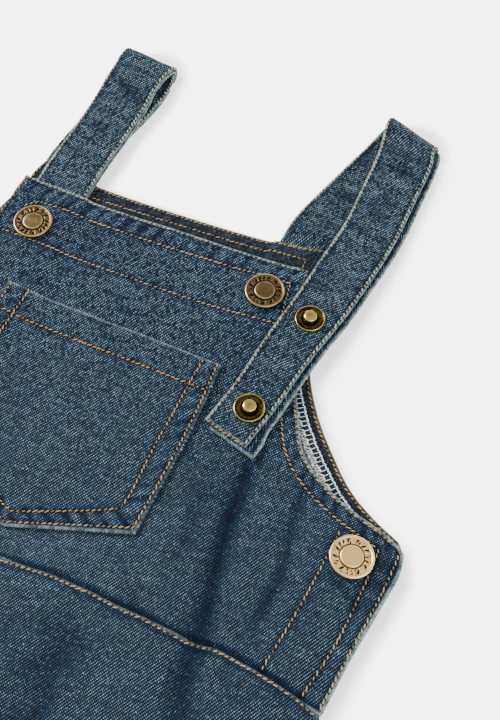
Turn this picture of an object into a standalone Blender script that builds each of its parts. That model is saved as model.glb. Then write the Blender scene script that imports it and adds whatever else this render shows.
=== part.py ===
"""Dungaree bodysuit of washed denim, laid flat on its back and seen from the front.

Pattern frame, in millimetres: x runs across from the centre front towards the
viewer's right, y runs up from the crotch edge to the top of the straps, and z
runs up from the surface that the garment lies on. place() turns a pattern point
into the part's frame, in metres, with its origin under the middle of the garment.
Left and right in names are the viewer's.
"""
import math

import bpy
import numpy as np
from mathutils import Vector

MM = 0.001

# Driving sizes, in millimetres
LENGTH = 438.6              # crotch edge to the fold of the straps
CLOTH = 1.2                 # wall of every panel
PLY = 1.1                   # wall of each strap ply
GAP = 0.3                   # between pieces that touch

STRAP_WIDTH = 25.0
CAP_RADIUS = 8.5
STUD_RADIUS = 6.25
SNAP_RADIUS = 5.0

WAIST_RISE = 7.5            # the waist seam is this much higher at the centre than at the sides
BIB_DIP = 1.5               # the bib's top edge sinks this much at the centre
BACK_DIP = 4.6              # the same for the back's top edge
BACK_TILT = 1.1              # its right corner lies this much higher, the left one lower
BACK_SHIFT = 4.2            # the back's top lies this far to the right of the front's
BACK_SHIFT_FROM_Y = 250.0   # the shift starts at this height and grows to the top

ROLL_WIDTH = 20.0           # the front rises from its edges to full height over this distance

ARMHOLE_HEM_WIDTH = 8.0
ARMHOLE_HEM_WALL = 0.8
ARMHOLE_HEM_INSET = 0.8     # from the back's edge

# Outlines of the right half, from the lower end up: height, then distance from
# the panel's centre line.
FRONT_SIDE = (
    # y, x
    (176.0, 134.9),
    (198.0, 137.9),
    (222.0, 142.4),
    (234.0, 144.4),
    (241.5, 143.4),
)
FRONT_ARMHOLE = (
    # y, x
    (243.5, 141.5),
    (247.1, 132.1),
    (251.0, 118.9),
    (256.2, 107.0),
    (264.7, 95.6),
    (281.6, 86.3),
    (300.0, 77.6),
    (321.0, 68.8),
    (344.6, 64.8),
)
BACK_SIDE = (
    # y, x
    (176.0, 134.5),
    (198.0, 137.4),
    (222.0, 141.8),
    (234.0, 143.8),
    (243.0, 142.6),
)
BACK_ARMHOLE = (
    # y, x
    (246.4, 140.3),
    (251.4, 129.1),
    (258.4, 117.5),
    (270.7, 104.7),
    (286.3, 91.5),
    (302.6, 81.8),
    (330.2, 76.8),
    (359.4, 70.3),
)
FRONT_LEG = (
    # y, x
    (0.0, 47.0),
    (16.0, 51.5),
    (42.0, 70.0),
    (68.0, 97.0),
    (92.0, 128.0),
)
FRONT_HIP = (
    # y, x
    (98.0, 137.0),
    (120.0, 139.5),
    (150.0, 138.0),
    (175.4, 134.8),
)
BACK_LEG = (
    # y, x
    (5.0, 46.0),
    (12.0, 55.0),
    (34.0, 80.0),
    (58.0, 109.0),
    (84.0, 134.0),
)
BACK_HIP = (
    # y, x
    (95.0, 138.0),
    (120.0, 139.0),
    (150.0, 137.5),
    (175.4, 134.3),
)

# How far the front's underside lies above the floor, at its side edges and along
# its middle.
FRONT_LIFT = (
    # y, at the edge, in the middle
    (0.0, 1.6, 1.9),
    (40.0, 1.6, 3.2),
    (120.0, 1.6, 4.3),
    (176.0, 1.8, 4.5),
    (225.0, 2.2, 4.6),
    (243.0, 2.8, 4.7),
    (270.0, 3.2, 4.8),
    (300.0, 3.9, 4.8),
    (325.0, 4.6, 4.8),
    (344.6, 4.8, 4.8),
)

# Soft rises in the front, over the fastened strap and over the open button's socket.
FRONT_BULGES = (
    # x, lower y, upper y, half width, height
    (-53.5, 262.0, 350.0, 13.0, 1.6),
    (54.2, 320.0, 332.0, 5.0, 1.2),
)
BULGE_SLOPE = 10.0          # a rise falls away over this distance
FOLD_ENDS = 0.7             # below 1, a trough keeps its depth nearer to its ends

# Soft troughs in the front, each along a straight line.
FRONT_FOLDS = (
    # x and y of the upper end, x and y of the lower end, half width, depth
    (77.0, 270.0, 84.0, 134.0, 7.5, 2.3),
    (95.0, 256.0, 102.0, 176.0, 6.5, 1.7),
    (43.0, 186.0, 39.0, 96.0, 8.0, 1.2),
    (-75.0, 262.0, -80.0, 128.0, 8.0, 2.1),
    (-101.0, 252.0, -97.0, 166.0, 6.5, 1.5),
    (-36.0, 180.0, -43.0, 84.0, 8.0, 1.0),
)

# Pocket outline, right half, from the point up.
POCKET_SIDE = (
    # y, x
    (211.8, 46.9),
    (235.8, 48.6),
    (262.8, 49.5),
    (289.6, 49.0),
)
POCKET_X = 2.2              # its middle lies this far to the right
POCKET_TILT = 0.028         # and it drops this much for each millimetre to the right
POCKET_POINT_DROP = 17.0    # the point lies this much below the lower corners

# Middle line of each strap, from its root up over the fold to its free end.
STRAP_MIDDLE = GAP / 2 + PLY    # from the lining's underside to the strap's middle
STRAP_FOLD_RADIUS = 2.9
STRAP_RIGHT_BACK = (
    # x, y, z, direction of the width in degrees, width of the face ply, lining to the right
    (61.5, 359.9, STRAP_MIDDLE, -5.0, 25.0, 0.0),
    (62.6, 371.0, STRAP_MIDDLE, -11.0, 25.0, 0.0),
    (65.4, 382.0, STRAP_MIDDLE, -15.0, 25.0, 0.0),
    (70.6, 400.0, STRAP_MIDDLE, -16.0, 25.0, 0.0),
    (77.4, 420.0, STRAP_MIDDLE, -17.0, 25.0, 0.0),
)
STRAP_RIGHT_FOLD = (85.0, 431.0, -21.0)     # x, y, direction of the fold line
STRAP_RIGHT_FRONT = (
    # x, y, z, direction of the width in degrees, width of the face ply, lining to the right
    (86.0, 418.0, 6.7, -5.0, 25.0, 0.6),
    (85.5, 398.0, 4.9, 0.0, 24.6, 1.4),
    (84.6, 374.0, 4.8, -5.0, 24.0, 2.2),
    (81.5, 350.2, 6.2, -8.0, 24.0, 2.4),
    (78.0, 327.8, 7.5, -8.0, 23.0, 2.4),
    (73.3, 306.0, 7.8, -9.0, 21.4, 2.6),
    (68.5, 278.0, 7.9, -9.0, 20.0, 3.0),
    (63.7, 258.4, 7.9, -16.0, 20.0, 3.4),
)
STRAP_LEFT_BACK = (
    # x, y, z, direction of the width in degrees, width of the face ply, lining to the right
    (-53.9, 358.0, STRAP_MIDDLE, 0.0, 25.0, 0.0),
    (-53.0, 371.0, STRAP_MIDDLE, -4.0, 25.0, 0.0),
    (-50.6, 384.0, STRAP_MIDDLE, -9.0, 25.0, 0.0),
    (-46.4, 402.0, STRAP_MIDDLE, -10.0, 25.0, 0.0),
    (-44.2, 418.0, STRAP_MIDDLE, -6.0, 25.0, 0.0),
)
STRAP_LEFT_FOLD = (-46.0, 428.4, -8.0)
STRAP_LEFT_FRONT = (
    # x, y, z, direction of the width in degrees, width of the face ply, lining to the right
    (-47.8, 418.0, 6.6, -3.0, 25.4, 0.3),
    (-48.4, 402.0, 4.8, 0.0, 25.2, 0.6),
    (-49.2, 378.0, 4.6, 3.0, 25.0, 0.6),
    (-50.5, 358.0, 4.3, 3.0, 25.0, 0.4),
    (-50.9, 343.0, 3.95, 2.0, 25.0, 0.2),
    (-51.8, 322.0, 3.85, 3.0, 25.0, 0.0),
    (-54.4, 290.0, 3.85, 5.0, 25.0, 0.0),
    (-57.0, 260.0, 3.85, 5.0, 25.0, 0.0),
)

# Fastenings: name, x, y
BIB_BUTTONS = (("bib_button_left", -51.6, 321.9), ("bib_button_right", 54.2, 326.7))
SIDE_BUTTONS = (("side_button_left", -125.9, 232.2), ("side_button_right", 125.9, 232.2))
CROTCH_SNAPS = (
    ("crotch_snap_left", -27.0, 13.0),
    ("crotch_snap_middle", 0.0, 11.0),
    ("crotch_snap_right", 27.0, 13.0),
)
STUDS = (
    # name, distance from the fold along the strap, to the right of its middle
    ("upper", 116.8, 0.0),
    ("lower", 164.8, 1.5),
)

# Turned profiles, from the rim's foot to the middle of the top: radius, height.
CAP_PROFILE = (
    (0.0, 0.0), (7.2, 0.0), (8.2, 0.5), (CAP_RADIUS, 1.2), (8.1, 1.9), (7.2, 2.1),
    (5.3, 1.7), (4.7, 1.8), (4.3, 2.3), (3.2, 2.4), (0.0, 2.2),
)
STUD_PROFILE = (
    (0.0, 0.0), (5.6, 0.0), (STUD_RADIUS, 0.4), (6.0, 1.0), (5.2, 1.2), (3.4, 0.7),
    (2.5, 0.8), (2.1, 1.8), (2.35, 2.5), (1.6, 3.1), (0.0, 3.3),
)
FLAT_STUD_PROFILE = ((0.0, 0.0), (5.9, 0.0), (STUD_RADIUS, 0.3), (5.9, 0.5), (0.0, 0.6))
SNAP_PROFILE = ((0.0, 0.0), (4.6, 0.0), (SNAP_RADIUS, 0.4), (4.5, 1.0), (2.5, 1.4), (0.0, 1.5))
TURNING_STEPS = 28

# Surface colours: red, green, blue, roughness, metallic
DENIM_FRONT = (0.068, 0.125, 0.190, 0.9, 0.0)
DENIM_BACK = (0.040, 0.075, 0.120, 0.9, 0.0)
DENIM_STRAP = (0.075, 0.135, 0.205, 0.9, 0.0)
HEM_TAPE = (0.45, 0.52, 0.56, 0.9, 0.0)
DARK_BRASS = (0.26, 0.19, 0.11, 0.4, 1.0)
PALE_BRASS = (0.52, 0.42, 0.27, 0.4, 1.0)
OLIVE_BRASS = (0.42, 0.34, 0.12, 0.3, 1.0)


def place(x, y, z):
    """A pattern point in the part's frame, in metres."""
    return Vector((x, y - LENGTH / 2, z)) * MM


def smooth(rows, count):
    """Even steps along a smooth curve through the rows' first three columns."""
    rows = np.array(rows, float)
    chord = np.linalg.norm(np.diff(rows[:, :3], axis=0), axis=1)
    at = np.concatenate([[0.0], np.cumsum(chord)])
    slope = np.gradient(rows, at, axis=0)
    fine = []
    for k in range(len(rows) - 1):
        step = at[k + 1] - at[k]
        for t in np.linspace(0.0, 1.0, 24, endpoint=False):
            start = (2 * t**3 - 3 * t**2 + 1) * rows[k] + (t**3 - 2 * t**2 + t) * step * slope[k]
            end = (3 * t**2 - 2 * t**3) * rows[k + 1] + (t**3 - t**2) * step * slope[k + 1]
            fine.append(start + end)
    fine.append(rows[-1])
    fine = np.array(fine)
    run = np.linalg.norm(np.diff(fine[:, :3], axis=0), axis=1)
    along = np.concatenate([[0.0], np.cumsum(run)])
    steps = np.linspace(0.0, along[-1], count)
    return np.column_stack([np.interp(steps, along, column) for column in fine.T])


def ease(t):
    """0 below 0, 1 above 1 and smooth between."""
    t = np.clip(t, 0.0, 1.0)
    return t * t * (3.0 - 2.0 * t)


def distance_to(path, x, y):
    """Distance from a point to an outline given as rows of (y, x)."""
    start = path[:-1, ::-1]
    run = path[1:, ::-1] - start
    offset = np.array([x, y]) - start
    t = np.clip((offset * run).sum(axis=1) / (run**2).sum(axis=1), 0.0, 1.0)
    return np.linalg.norm(offset - run * t[:, None], axis=1).min()


FRONT_EDGE = np.vstack([smooth(FRONT_LEG, 20), smooth(FRONT_HIP, 12),
                        smooth(FRONT_SIDE, 12), smooth(FRONT_ARMHOLE, 40)])


def back_shift(y):
    """How far the back lies to the right of the front at this height."""
    return BACK_SHIFT * ease((y - BACK_SHIFT_FROM_Y) / (BACK_ARMHOLE[-1][0] - BACK_SHIFT_FROM_Y))


def back_top(x):
    """Height on the pattern of the back's top edge, where the straps start."""
    top_y, half_width = BACK_ARMHOLE[-1]
    u = (x - BACK_SHIFT) / half_width
    return top_y - BACK_DIP * (1 - min(abs(u), 1.0) ** 3) + BACK_TILT * u


def front_height(x, y):
    """Height of the front's upper face: risen from its edges, with its soft folds."""
    lift = np.array(FRONT_LIFT)
    edge = np.interp(y, lift[:, 0], lift[:, 1])
    middle = np.interp(y, lift[:, 0], lift[:, 2])
    height = edge + (middle - edge) * ease(distance_to(FRONT_EDGE, abs(x), y) / ROLL_WIDTH)
    for x_top, y_top, x_low, y_low, half_width, depth in FRONT_FOLDS:
        along = (y_top - y) / (y_top - y_low)
        off = (x - x_top - (x_low - x_top) * along) / half_width
        if 0.0 < along < 1.0:
            height -= depth * math.sin(math.pi * along) ** FOLD_ENDS * math.exp(-off * off)
    for x_middle, y_low, y_top, half_width, rise in FRONT_BULGES:
        beside = abs(x - x_middle) - half_width
        beyond = max(y_low - y, y - y_top)
        height += rise * ease(1.0 - math.hypot(max(beside, 0.0), max(beyond, 0.0)) / BULGE_SLOPE)
    return height + CLOTH


def back_height(x, y):
    """Height of the back's upper face, which is flat."""
    return CLOTH


def finish(name, mesh, colour, collection):
    """Put a mesh in the scene as one named sub-part with a material of its own."""
    obj = bpy.data.objects.new(name, mesh)
    collection.objects.link(obj)
    red, green, blue, roughness, metallic = colour
    material = bpy.data.materials.new(name)
    material.use_nodes = True
    shader = material.node_tree.nodes["Principled BSDF"]
    shader.inputs["Base Color"].default_value = (red, green, blue, 1.0)
    shader.inputs["Roughness"].default_value = roughness
    shader.inputs["Metallic"].default_value = metallic
    material.diffuse_color = (red, green, blue, 1.0)
    mesh.materials.append(material)
    return obj


def cloth(name, points, wall, offset, colour, collection):
    """A grid of points, thickened into a wall; offset -1 keeps the grid as its upper face."""
    rows, columns, _ = points.shape
    faces = []
    for r in range(rows - 1):
        for c in range(columns - 1):
            k = r * columns + c
            faces.append((k, k + 1, k + columns + 1, k + columns))
    mesh = bpy.data.meshes.new(name)
    mesh.from_pydata([place(*p) for p in points.reshape(-1, 3)], [], faces)
    mesh.shade_smooth()
    obj = finish(name, mesh, colour, collection)
    solid = obj.modifiers.new("cloth wall", "SOLIDIFY")
    solid.thickness = wall * MM
    solid.offset = offset
    return obj


def panel(name, outline, columns, low_bow, top_bow, top_tilt, shift, height, colour, collection):
    """A cut panel between two mirrored side edges.

    Each row of points joins the two edges at one height. low_bow raises the middle
    of the lowest row and top_bow that of the top row, top_tilt raises that row's
    right end and lowers its left, and the rows between blend.
    """
    rows = len(outline)
    points = np.empty((rows, columns, 3))
    for r, (y_edge, half_width) in enumerate(outline):
        v = r / (rows - 1)
        bow = low_bow * (1 - v) ** 2 + top_bow * v**2
        for c, u in enumerate(np.linspace(-1.0, 1.0, columns)):
            y = y_edge + bow * (1 - abs(u) ** 3) + top_tilt * u * v**4
            x = u * half_width
            points[r, c] = x + shift(y), y, height(x, y)
    return cloth(name, points, CLOTH, -1.0, colour, collection)


def no_shift(y):
    """The front panels are centred."""
    return 0.0


def make_front(collection):
    """Bib and front body in one piece, and the front of the seat below the waist seam."""
    upper = np.vstack([smooth(FRONT_SIDE, 8), smooth(FRONT_ARMHOLE, 20)])
    panel("front_upper", upper, 41, WAIST_RISE, -BIB_DIP, 0.0, no_shift, front_height,
          DENIM_FRONT, collection)
    lower = np.vstack([smooth(FRONT_LEG, 12), smooth(FRONT_HIP, 7)])
    panel("front_lower", lower, 33, 0.0, WAIST_RISE, 0.0, no_shift, front_height,
          DENIM_FRONT, collection)


def make_back(collection):
    """Back body and the back of the seat, flat on the floor."""
    upper = np.vstack([smooth(BACK_SIDE, 6), smooth(BACK_ARMHOLE, 18)])
    panel("back_upper", upper, 9, WAIST_RISE, -BACK_DIP, BACK_TILT, back_shift, back_height,
          DENIM_BACK, collection)
    lower = np.vstack([smooth(BACK_LEG, 12), smooth(BACK_HIP, 6)])
    panel("back_lower", lower, 9, 0.0, WAIST_RISE, 0.0, no_shift, back_height,
          DENIM_BACK, collection)


def make_armhole_hem(name, side, collection):
    """The back armhole's turned hem: a strip that follows the back's edge on its inner face."""
    edge = smooth(BACK_ARMHOLE, 24)
    run = np.gradient(edge, axis=0)
    inward = np.column_stack([-run[:, 1], run[:, 0]])
    inward /= np.linalg.norm(inward, axis=1)[:, None]
    inward *= -np.sign(inward[:, 1:2])
    points = np.empty((len(edge), 3, 3))
    for c, reach in enumerate((0.0, 0.5, 1.0)):
        rim = edge + inward * (ARMHOLE_HEM_INSET + reach * ARMHOLE_HEM_WIDTH)
        shift = np.array([back_shift(y) for y in rim[:, 0]])
        points[:, c, 0] = side * rim[:, 1] + shift
        points[:, c, 1] = rim[:, 0]
        points[:, c, 2] = CLOTH + GAP + ARMHOLE_HEM_WALL
    if side > 0:
        points = points[:, ::-1]
    return cloth(name, points[2:-1], ARMHOLE_HEM_WALL, -1.0, HEM_TAPE, collection)


def make_pocket(collection):
    """Patch pocket: rows between its sides, bent down to the point, laid on the front."""
    side = smooth(POCKET_SIDE, 12)
    columns = 13
    points = np.empty((len(side), columns, 3))
    for r, (y_side, half_width) in enumerate(side):
        v = r / (len(side) - 1)
        for c, u in enumerate(np.linspace(-1.0, 1.0, columns)):
            x = POCKET_X + u * half_width
            y = y_side - POCKET_POINT_DROP * (1 - v) * (1 - abs(u)) - POCKET_TILT * u * half_width
            points[r, c] = x, y, front_height(x, y) + GAP + CLOTH
    return cloth("pocket", points, CLOTH, -1.0, DENIM_FRONT, collection)


def strap_line(back, fold, front, count):
    """Rows along a strap's middle line: back leg, round fold and front leg."""
    fold_x, fold_y, turn = fold
    toward = np.array([-math.sin(math.radians(turn)), math.cos(math.radians(turn))])
    arc = []
    for angle in (30.0, 60.0, 90.0, 120.0, 150.0):
        reach = STRAP_FOLD_RADIUS * math.sin(math.radians(angle))
        rise = STRAP_FOLD_RADIUS * (1 - math.cos(math.radians(angle)))
        arc.append((fold_x + toward[0] * reach, fold_y + toward[1] * reach,
                    STRAP_MIDDLE + rise, turn, STRAP_WIDTH, 0.0))
    rows = np.array(back + tuple(arc) + front)
    return smooth(rows, count)


def strap_frame(line):
    """Width and face directions at each step of a strap's middle line."""
    turn = np.radians(line[:, 3])
    width = np.column_stack([np.cos(turn), np.sin(turn), np.zeros(len(line))])
    run = np.gradient(line[:, :3], axis=0)
    face = np.cross(run, width)
    face /= np.linalg.norm(face, axis=1)[:, None]
    return width, face


def make_strap(side, back, fold, front, collection):
    """One strap: an outer ply and a lining, one on each side of the middle line."""
    line = strap_line(back, fold, front, 64)
    width, face = strap_frame(line)
    face_width = line[:, 4:5]
    lining_shift = line[:, 5:6]
    for ply, sign, ply_width, shift in (("face", 1.0, face_width, 0.0),
                                        ("lining", -1.0, face_width, lining_shift)):
        middle = line[:, :3] + face * sign * (GAP + PLY) / 2 + width * shift
        points = np.empty((len(line), 3, 3))
        for c, u in enumerate((-0.5, 0.0, 0.5)):
            points[:, c] = middle + width * u * ply_width
            points[0, c, 1] = back_top(points[0, c, 0]) + GAP
        cloth(f"strap_{side}_{ply}", points, PLY, 0.0, DENIM_STRAP, collection)
    return line


def turned(name, profile, centre, up, colour, collection):
    """A round metal piece: its profile turned about an axis that stands on the cloth."""
    mesh = bpy.data.meshes.new(name)
    points = [(radius * MM, 0.0, height * MM) for radius, height in reversed(profile)]
    edges = [(k, k + 1) for k in range(len(points) - 1)]
    mesh.from_pydata(points, edges, [])
    obj = finish(name, mesh, colour, collection)
    screw = obj.modifiers.new("turn", "SCREW")
    screw.steps = TURNING_STEPS
    screw.render_steps = TURNING_STEPS
    screw.use_merge_vertices = True
    screw.merge_threshold = 0.00001
    screw.use_smooth_shade = True
    obj.location = centre
    obj.rotation_euler = Vector(up).to_track_quat("Z", "Y").to_euler()
    return obj


def seat_on_front(name, profile, x, y, radius, colour, collection):
    """Stand a turned piece on the front's upper face, square to it."""
    slope_x = (front_height(x + radius, y) - front_height(x - radius, y)) / (2 * radius)
    slope_y = (front_height(x, y + radius) - front_height(x, y - radius)) / (2 * radius)
    up = Vector((-slope_x, -slope_y, 1.0)).normalized()
    ring = [front_height(x + radius * math.cos(a), y + radius * math.sin(a))
            - radius * (slope_x * math.cos(a) + slope_y * math.sin(a))
            for a in np.linspace(0.0, 2 * math.pi, 12, endpoint=False)]
    height = max(ring + [front_height(x, y)])
    centre = place(x, y, height) + up * GAP * MM
    return turned(name, profile, centre, up, colour, collection)


def make_buttons(collection):
    """Caps on the bib's corners and side openings, and the snaps at the crotch."""
    for name, x, y in BIB_BUTTONS:
        seat_on_front(name, CAP_PROFILE, x, y, CAP_RADIUS, DARK_BRASS, collection)
    for name, x, y in SIDE_BUTTONS:
        seat_on_front(name, CAP_PROFILE, x, y, CAP_RADIUS, PALE_BRASS, collection)
    for name, x, y in CROTCH_SNAPS:
        seat_on_front(name, SNAP_PROFILE, x, y, SNAP_RADIUS, DARK_BRASS, collection)


def make_studs(side, line, profile, collection):
    """Two studs on a strap's face, at fixed distances from its fold."""
    width, face = strap_frame(line)
    run = np.linalg.norm(np.diff(line[:, :3], axis=0), axis=1)
    along = np.concatenate([[0.0], np.cumsum(run)])
    fold = along[np.argmax(line[:, 1])]
    for level, drop, across in STUDS:
        step = np.argmin(abs(along - fold - drop))
        up = Vector(face[step])
        foot = Vector(line[step, :3] + width[step] * across) + up * (STRAP_MIDDLE + GAP)
        turned(f"stud_{side}_{level}", profile, place(*foot), up, OLIVE_BRASS, collection)


def build():
    """The whole garment, in an otherwise empty scene."""
    for obj in list(bpy.data.objects):
        bpy.data.objects.remove(obj)
    collection = bpy.data.collections.new("dungaree_bodysuit")
    bpy.context.scene.collection.children.link(collection)
    make_back(collection)
    make_armhole_hem("armhole_hem_left", -1, collection)
    make_armhole_hem("armhole_hem_right", 1, collection)
    make_front(collection)
    make_pocket(collection)
    left = make_strap("left", STRAP_LEFT_BACK, STRAP_LEFT_FOLD, STRAP_LEFT_FRONT, collection)
    right = make_strap("right", STRAP_RIGHT_BACK, STRAP_RIGHT_FOLD, STRAP_RIGHT_FRONT, collection)
    make_buttons(collection)
    make_studs("left", left, FLAT_STUD_PROFILE, collection)
    make_studs("right", right, STUD_PROFILE, collection)


build()
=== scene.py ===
"""How the dungaree bodysuit looks: washed denim, sewn rows, brass caps and studs.

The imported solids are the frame. Each cloth node is replaced by a thin closed shell
on the same form, with its hems, puckers and creases, and each metal node that shows
by a finer turned piece. Sizes are in millimetres on the garment's own pattern: x runs
across from the centre front towards the viewer's right, y up from the crotch edge and
z up from the floor. metres() turns them into the frame's metres.
"""
import math

import bmesh
import bpy
import numpy as np
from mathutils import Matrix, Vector


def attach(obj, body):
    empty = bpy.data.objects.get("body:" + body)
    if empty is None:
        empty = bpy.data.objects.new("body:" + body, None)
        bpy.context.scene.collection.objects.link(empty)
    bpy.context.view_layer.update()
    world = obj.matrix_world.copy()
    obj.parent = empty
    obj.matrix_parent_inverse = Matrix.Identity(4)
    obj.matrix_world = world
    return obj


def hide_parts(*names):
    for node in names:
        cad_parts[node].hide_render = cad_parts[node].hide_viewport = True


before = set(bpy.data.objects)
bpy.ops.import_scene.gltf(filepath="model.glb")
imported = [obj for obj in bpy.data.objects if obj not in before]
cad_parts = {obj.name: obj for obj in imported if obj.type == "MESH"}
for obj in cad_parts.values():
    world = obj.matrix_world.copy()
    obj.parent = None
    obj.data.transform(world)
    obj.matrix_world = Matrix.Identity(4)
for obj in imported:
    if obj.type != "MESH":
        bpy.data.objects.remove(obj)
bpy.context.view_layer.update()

MM = 0.001

# Driving sizes, the same as the solids'
LENGTH = 438.6
CLOTH = 1.2
PLY = 1.1
GAP = 0.3
STRAP_WIDTH = 25.0
CAP_RADIUS = 8.5
STUD_RADIUS = 6.25
SNAP_RADIUS = 5.0
WAIST_RISE = 7.5
BIB_DIP = 1.5
BACK_DIP = 4.6
BACK_TILT = 1.1
BACK_SHIFT = 4.2
BACK_SHIFT_FROM_Y = 250.0
ROLL_WIDTH = 20.0

# Outlines of the right half, from the lower end up: y, then x
FRONT_SIDE = ((176.0, 134.9), (198.0, 137.9), (222.0, 142.4), (234.0, 144.4), (241.5, 143.4))
FRONT_ARMHOLE = (
    (243.5, 141.5), (247.1, 132.1), (251.0, 118.9), (256.2, 107.0), (264.7, 95.6),
    (281.6, 86.3), (300.0, 77.6), (321.0, 69.8), (344.6, 67.2),
)
BACK_SIDE = ((176.0, 134.5), (198.0, 137.4), (222.0, 141.8), (234.0, 143.8), (243.0, 142.6))
BACK_ARMHOLE = (
    (246.4, 140.3), (251.4, 129.1), (258.4, 117.5), (270.7, 104.7), (286.3, 91.5),
    (302.6, 81.8), (330.2, 76.8), (359.4, 70.3),
)
FRONT_LEG = ((0.0, 47.0), (16.0, 51.5), (42.0, 70.0), (68.0, 97.0), (92.0, 128.0))
FRONT_HIP = ((98.0, 137.0), (120.0, 139.5), (150.0, 138.0), (175.4, 134.8))
BACK_LEG = ((5.0, 46.0), (12.0, 55.0), (34.0, 80.0), (58.0, 109.0), (84.0, 134.0))
BACK_HIP = ((95.0, 138.0), (120.0, 139.0), (150.0, 137.5), (175.4, 134.3))

# The front's underside above the floor: y, at the side edges, along the middle
FRONT_LIFT = np.array((
    (0.0, 1.6, 1.9), (40.0, 1.6, 3.2), (120.0, 1.6, 4.3), (176.0, 1.8, 4.5), (225.0, 2.2, 4.6),
    (243.0, 2.8, 4.7), (270.0, 3.2, 4.8), (300.0, 3.9, 4.8), (325.0, 4.6, 4.8),
    (344.6, 4.8, 4.8),
))
# Soft rises: x, lower y, upper y, half width, height
FRONT_BULGES = ((-53.5, 262.0, 350.0, 13.0, 1.6), (54.2, 320.0, 332.0, 5.0, 1.2))
BULGE_SLOPE = 10.0
# Soft troughs: upper end x, y, lower end x, y, half width, depth
FRONT_FOLDS = (
    (77.0, 270.0, 90.0, 134.0, 7.5, 2.3),
    (95.0, 256.0, 102.0, 176.0, 6.5, 1.7),
    (43.0, 186.0, 39.0, 96.0, 8.0, 1.2),
    (-75.0, 262.0, -80.0, 128.0, 8.0, 2.1),
    (-101.0, 252.0, -97.0, 166.0, 6.5, 1.5),
    (-36.0, 180.0, -43.0, 84.0, 8.0, 1.0),
)
FOLD_ENDS = 0.7

POCKET_SIDE = ((211.8, 46.9), (235.8, 48.6), (262.8, 49.5), (289.6, 49.0))
POCKET_X = 2.2
POCKET_TILT = 0.028
POCKET_POINT_DROP = 17.0
POCKET_RUN = 78.0                   # length of its sides

STRAP_MIDDLE = GAP / 2 + PLY        # height of a back leg's middle
STRAP_FOLD_RADIUS = 2.9
FOLD_SPREAD = 27.4                  # a strap's width along its fold, which lies aslant
END_FLARE = 1.6                     # the lining's right edge stands out this far at its end
END_FLARE_FROM = 13.0
# Painted shade of soft folds across a strap, whose form stays flat there: distance from its top, how
# dark
STRAP_CREASE_SHADES = (
    (-48.0, 0.30), (-20.0, 0.14), (26.0, 0.34), (52.0, 0.22), (66.0, 0.14), (98.0, 0.10),
)
STRAP_ROW_IN = 1.0                  # distance of the rows from the strap's edges
STRAP_ROW_THINS = 0.42              # a ply is thinner by this share where a row is sewn
STRAP_ROW_LIFT = 0.62               # and the row lies at this share of the ply's half thickness
# Middle lines of the straps' back legs on the floor: x, y, turn of the width in degrees
STRAP_RIGHT_BACK = (
    (61.5, 359.9, -5.0), (63.2, 371.0, -13.0), (67.0, 383.0, -17.0), (72.6, 400.0, -17.5),
    (78.9, 419.0, -18.0),
)
STRAP_LEFT_BACK = (
    (-53.9, 358.0, 0.0), (-53.0, 371.0, -4.0), (-50.6, 384.0, -9.0), (-46.4, 402.0, -10.0),
    (-44.2, 418.0, -6.0),
)
# The middles of their folds: x, y, turn
STRAP_RIGHT_FOLD = (84.4, 431.4, -21.5)
STRAP_LEFT_FOLD = (-46.0, 428.4, -8.0)
# Middle lines of their front legs: x, y, z, turn, width, lining's shift to the right
STRAP_RIGHT_FRONT = (
    (86.2, 418.0, 6.7, -6.0, 25.4, 2.6), (85.5, 398.0, 4.9, 0.0, 24.6, 2.8),
    (84.6, 374.0, 4.8, -5.0, 24.0, 2.8), (81.5, 350.2, 6.2, -8.0, 24.0, 2.4),
    (78.0, 327.8, 7.5, -8.0, 23.0, 2.4), (73.3, 306.0, 7.8, -9.0, 21.4, 2.6),
    (68.5, 278.0, 7.9, -9.0, 20.0, 3.0), (63.7, 258.4, 7.9, -16.0, 20.0, 3.4),
)
STRAP_LEFT_FRONT = (
    (-47.8, 418.0, 6.6, -3.0, 25.4, 0.3), (-48.4, 402.0, 4.8, 0.0, 25.2, 0.6),
    (-49.2, 378.0, 4.6, 3.0, 25.0, 0.6), (-50.5, 358.0, 4.3, 3.0, 25.0, 0.4),
    (-50.9, 343.0, 3.95, 2.0, 25.0, 0.2), (-51.8, 322.0, 3.85, 3.0, 25.0, 0.0),
    (-54.4, 290.0, 3.85, 5.0, 25.0, 0.0), (-57.0, 260.0, 3.85, 5.0, 25.0, 0.0),
)
BIB_BUTTONS = (("bib_button_left", -51.6, 321.9), ("bib_button_right", 54.2, 326.7))
SIDE_BUTTONS = (("side_button_left", -125.9, 232.2), ("side_button_right", 125.9, 232.2))
CROTCH_SNAPS = (
    ("crotch_snap_left", -27.0, 13.0), ("crotch_snap_middle", 0.0, 11.0),
    ("crotch_snap_right", 27.0, 13.0),
)
# Studs: name, distance from the strap's fold, to the right of its middle
STUDS = (("upper", 116.8, 0.0), ("lower", 164.8, 1.5))

# Sewn rows on the right half of the front: x, y from one end to the other
PLACKET_INNER = ((118.6, 241.0), (116.6, 222.0), (113.6, 200.0), (110.4, 182.6))
PLACKET_OUTER = ((134.2, 240.0), (133.4, 222.0), (131.0, 200.0), (126.4, 179.8))
PLACKET_EDGE = ((141.8, 242.4), (140.6, 226.0), (136.8, 200.0), (133.6, 178.0))
BIB_ROW_2 = ((-55.0, 333.6), (-40.0, 333.7), (-10.0, 333.4), (20.0, 333.6), (62.4, 335.2))
BIB_ROW_3 = ((-68.0, 314.6), (-40.0, 313.7), (0.0, 313.0), (40.0, 313.6), (68.5, 315.4))
BIB_PATCH_LEFT = ((-55.0, 333.6), (-57.6, 331.5), (-60.2, 329.0))
BIB_PATCH_RIGHT = ((62.4, 335.2), (63.4, 328.0), (64.4, 320.0))
ARMHOLE_ROWS = (1.2, 6.7)           # distances from the armhole edge
ARMHOLE_ROWS_TOP = 312.0            # above this height the right ones run under the strap
LEG_ROWS = (1.4, 9.0)               # distances from the leg edge
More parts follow.
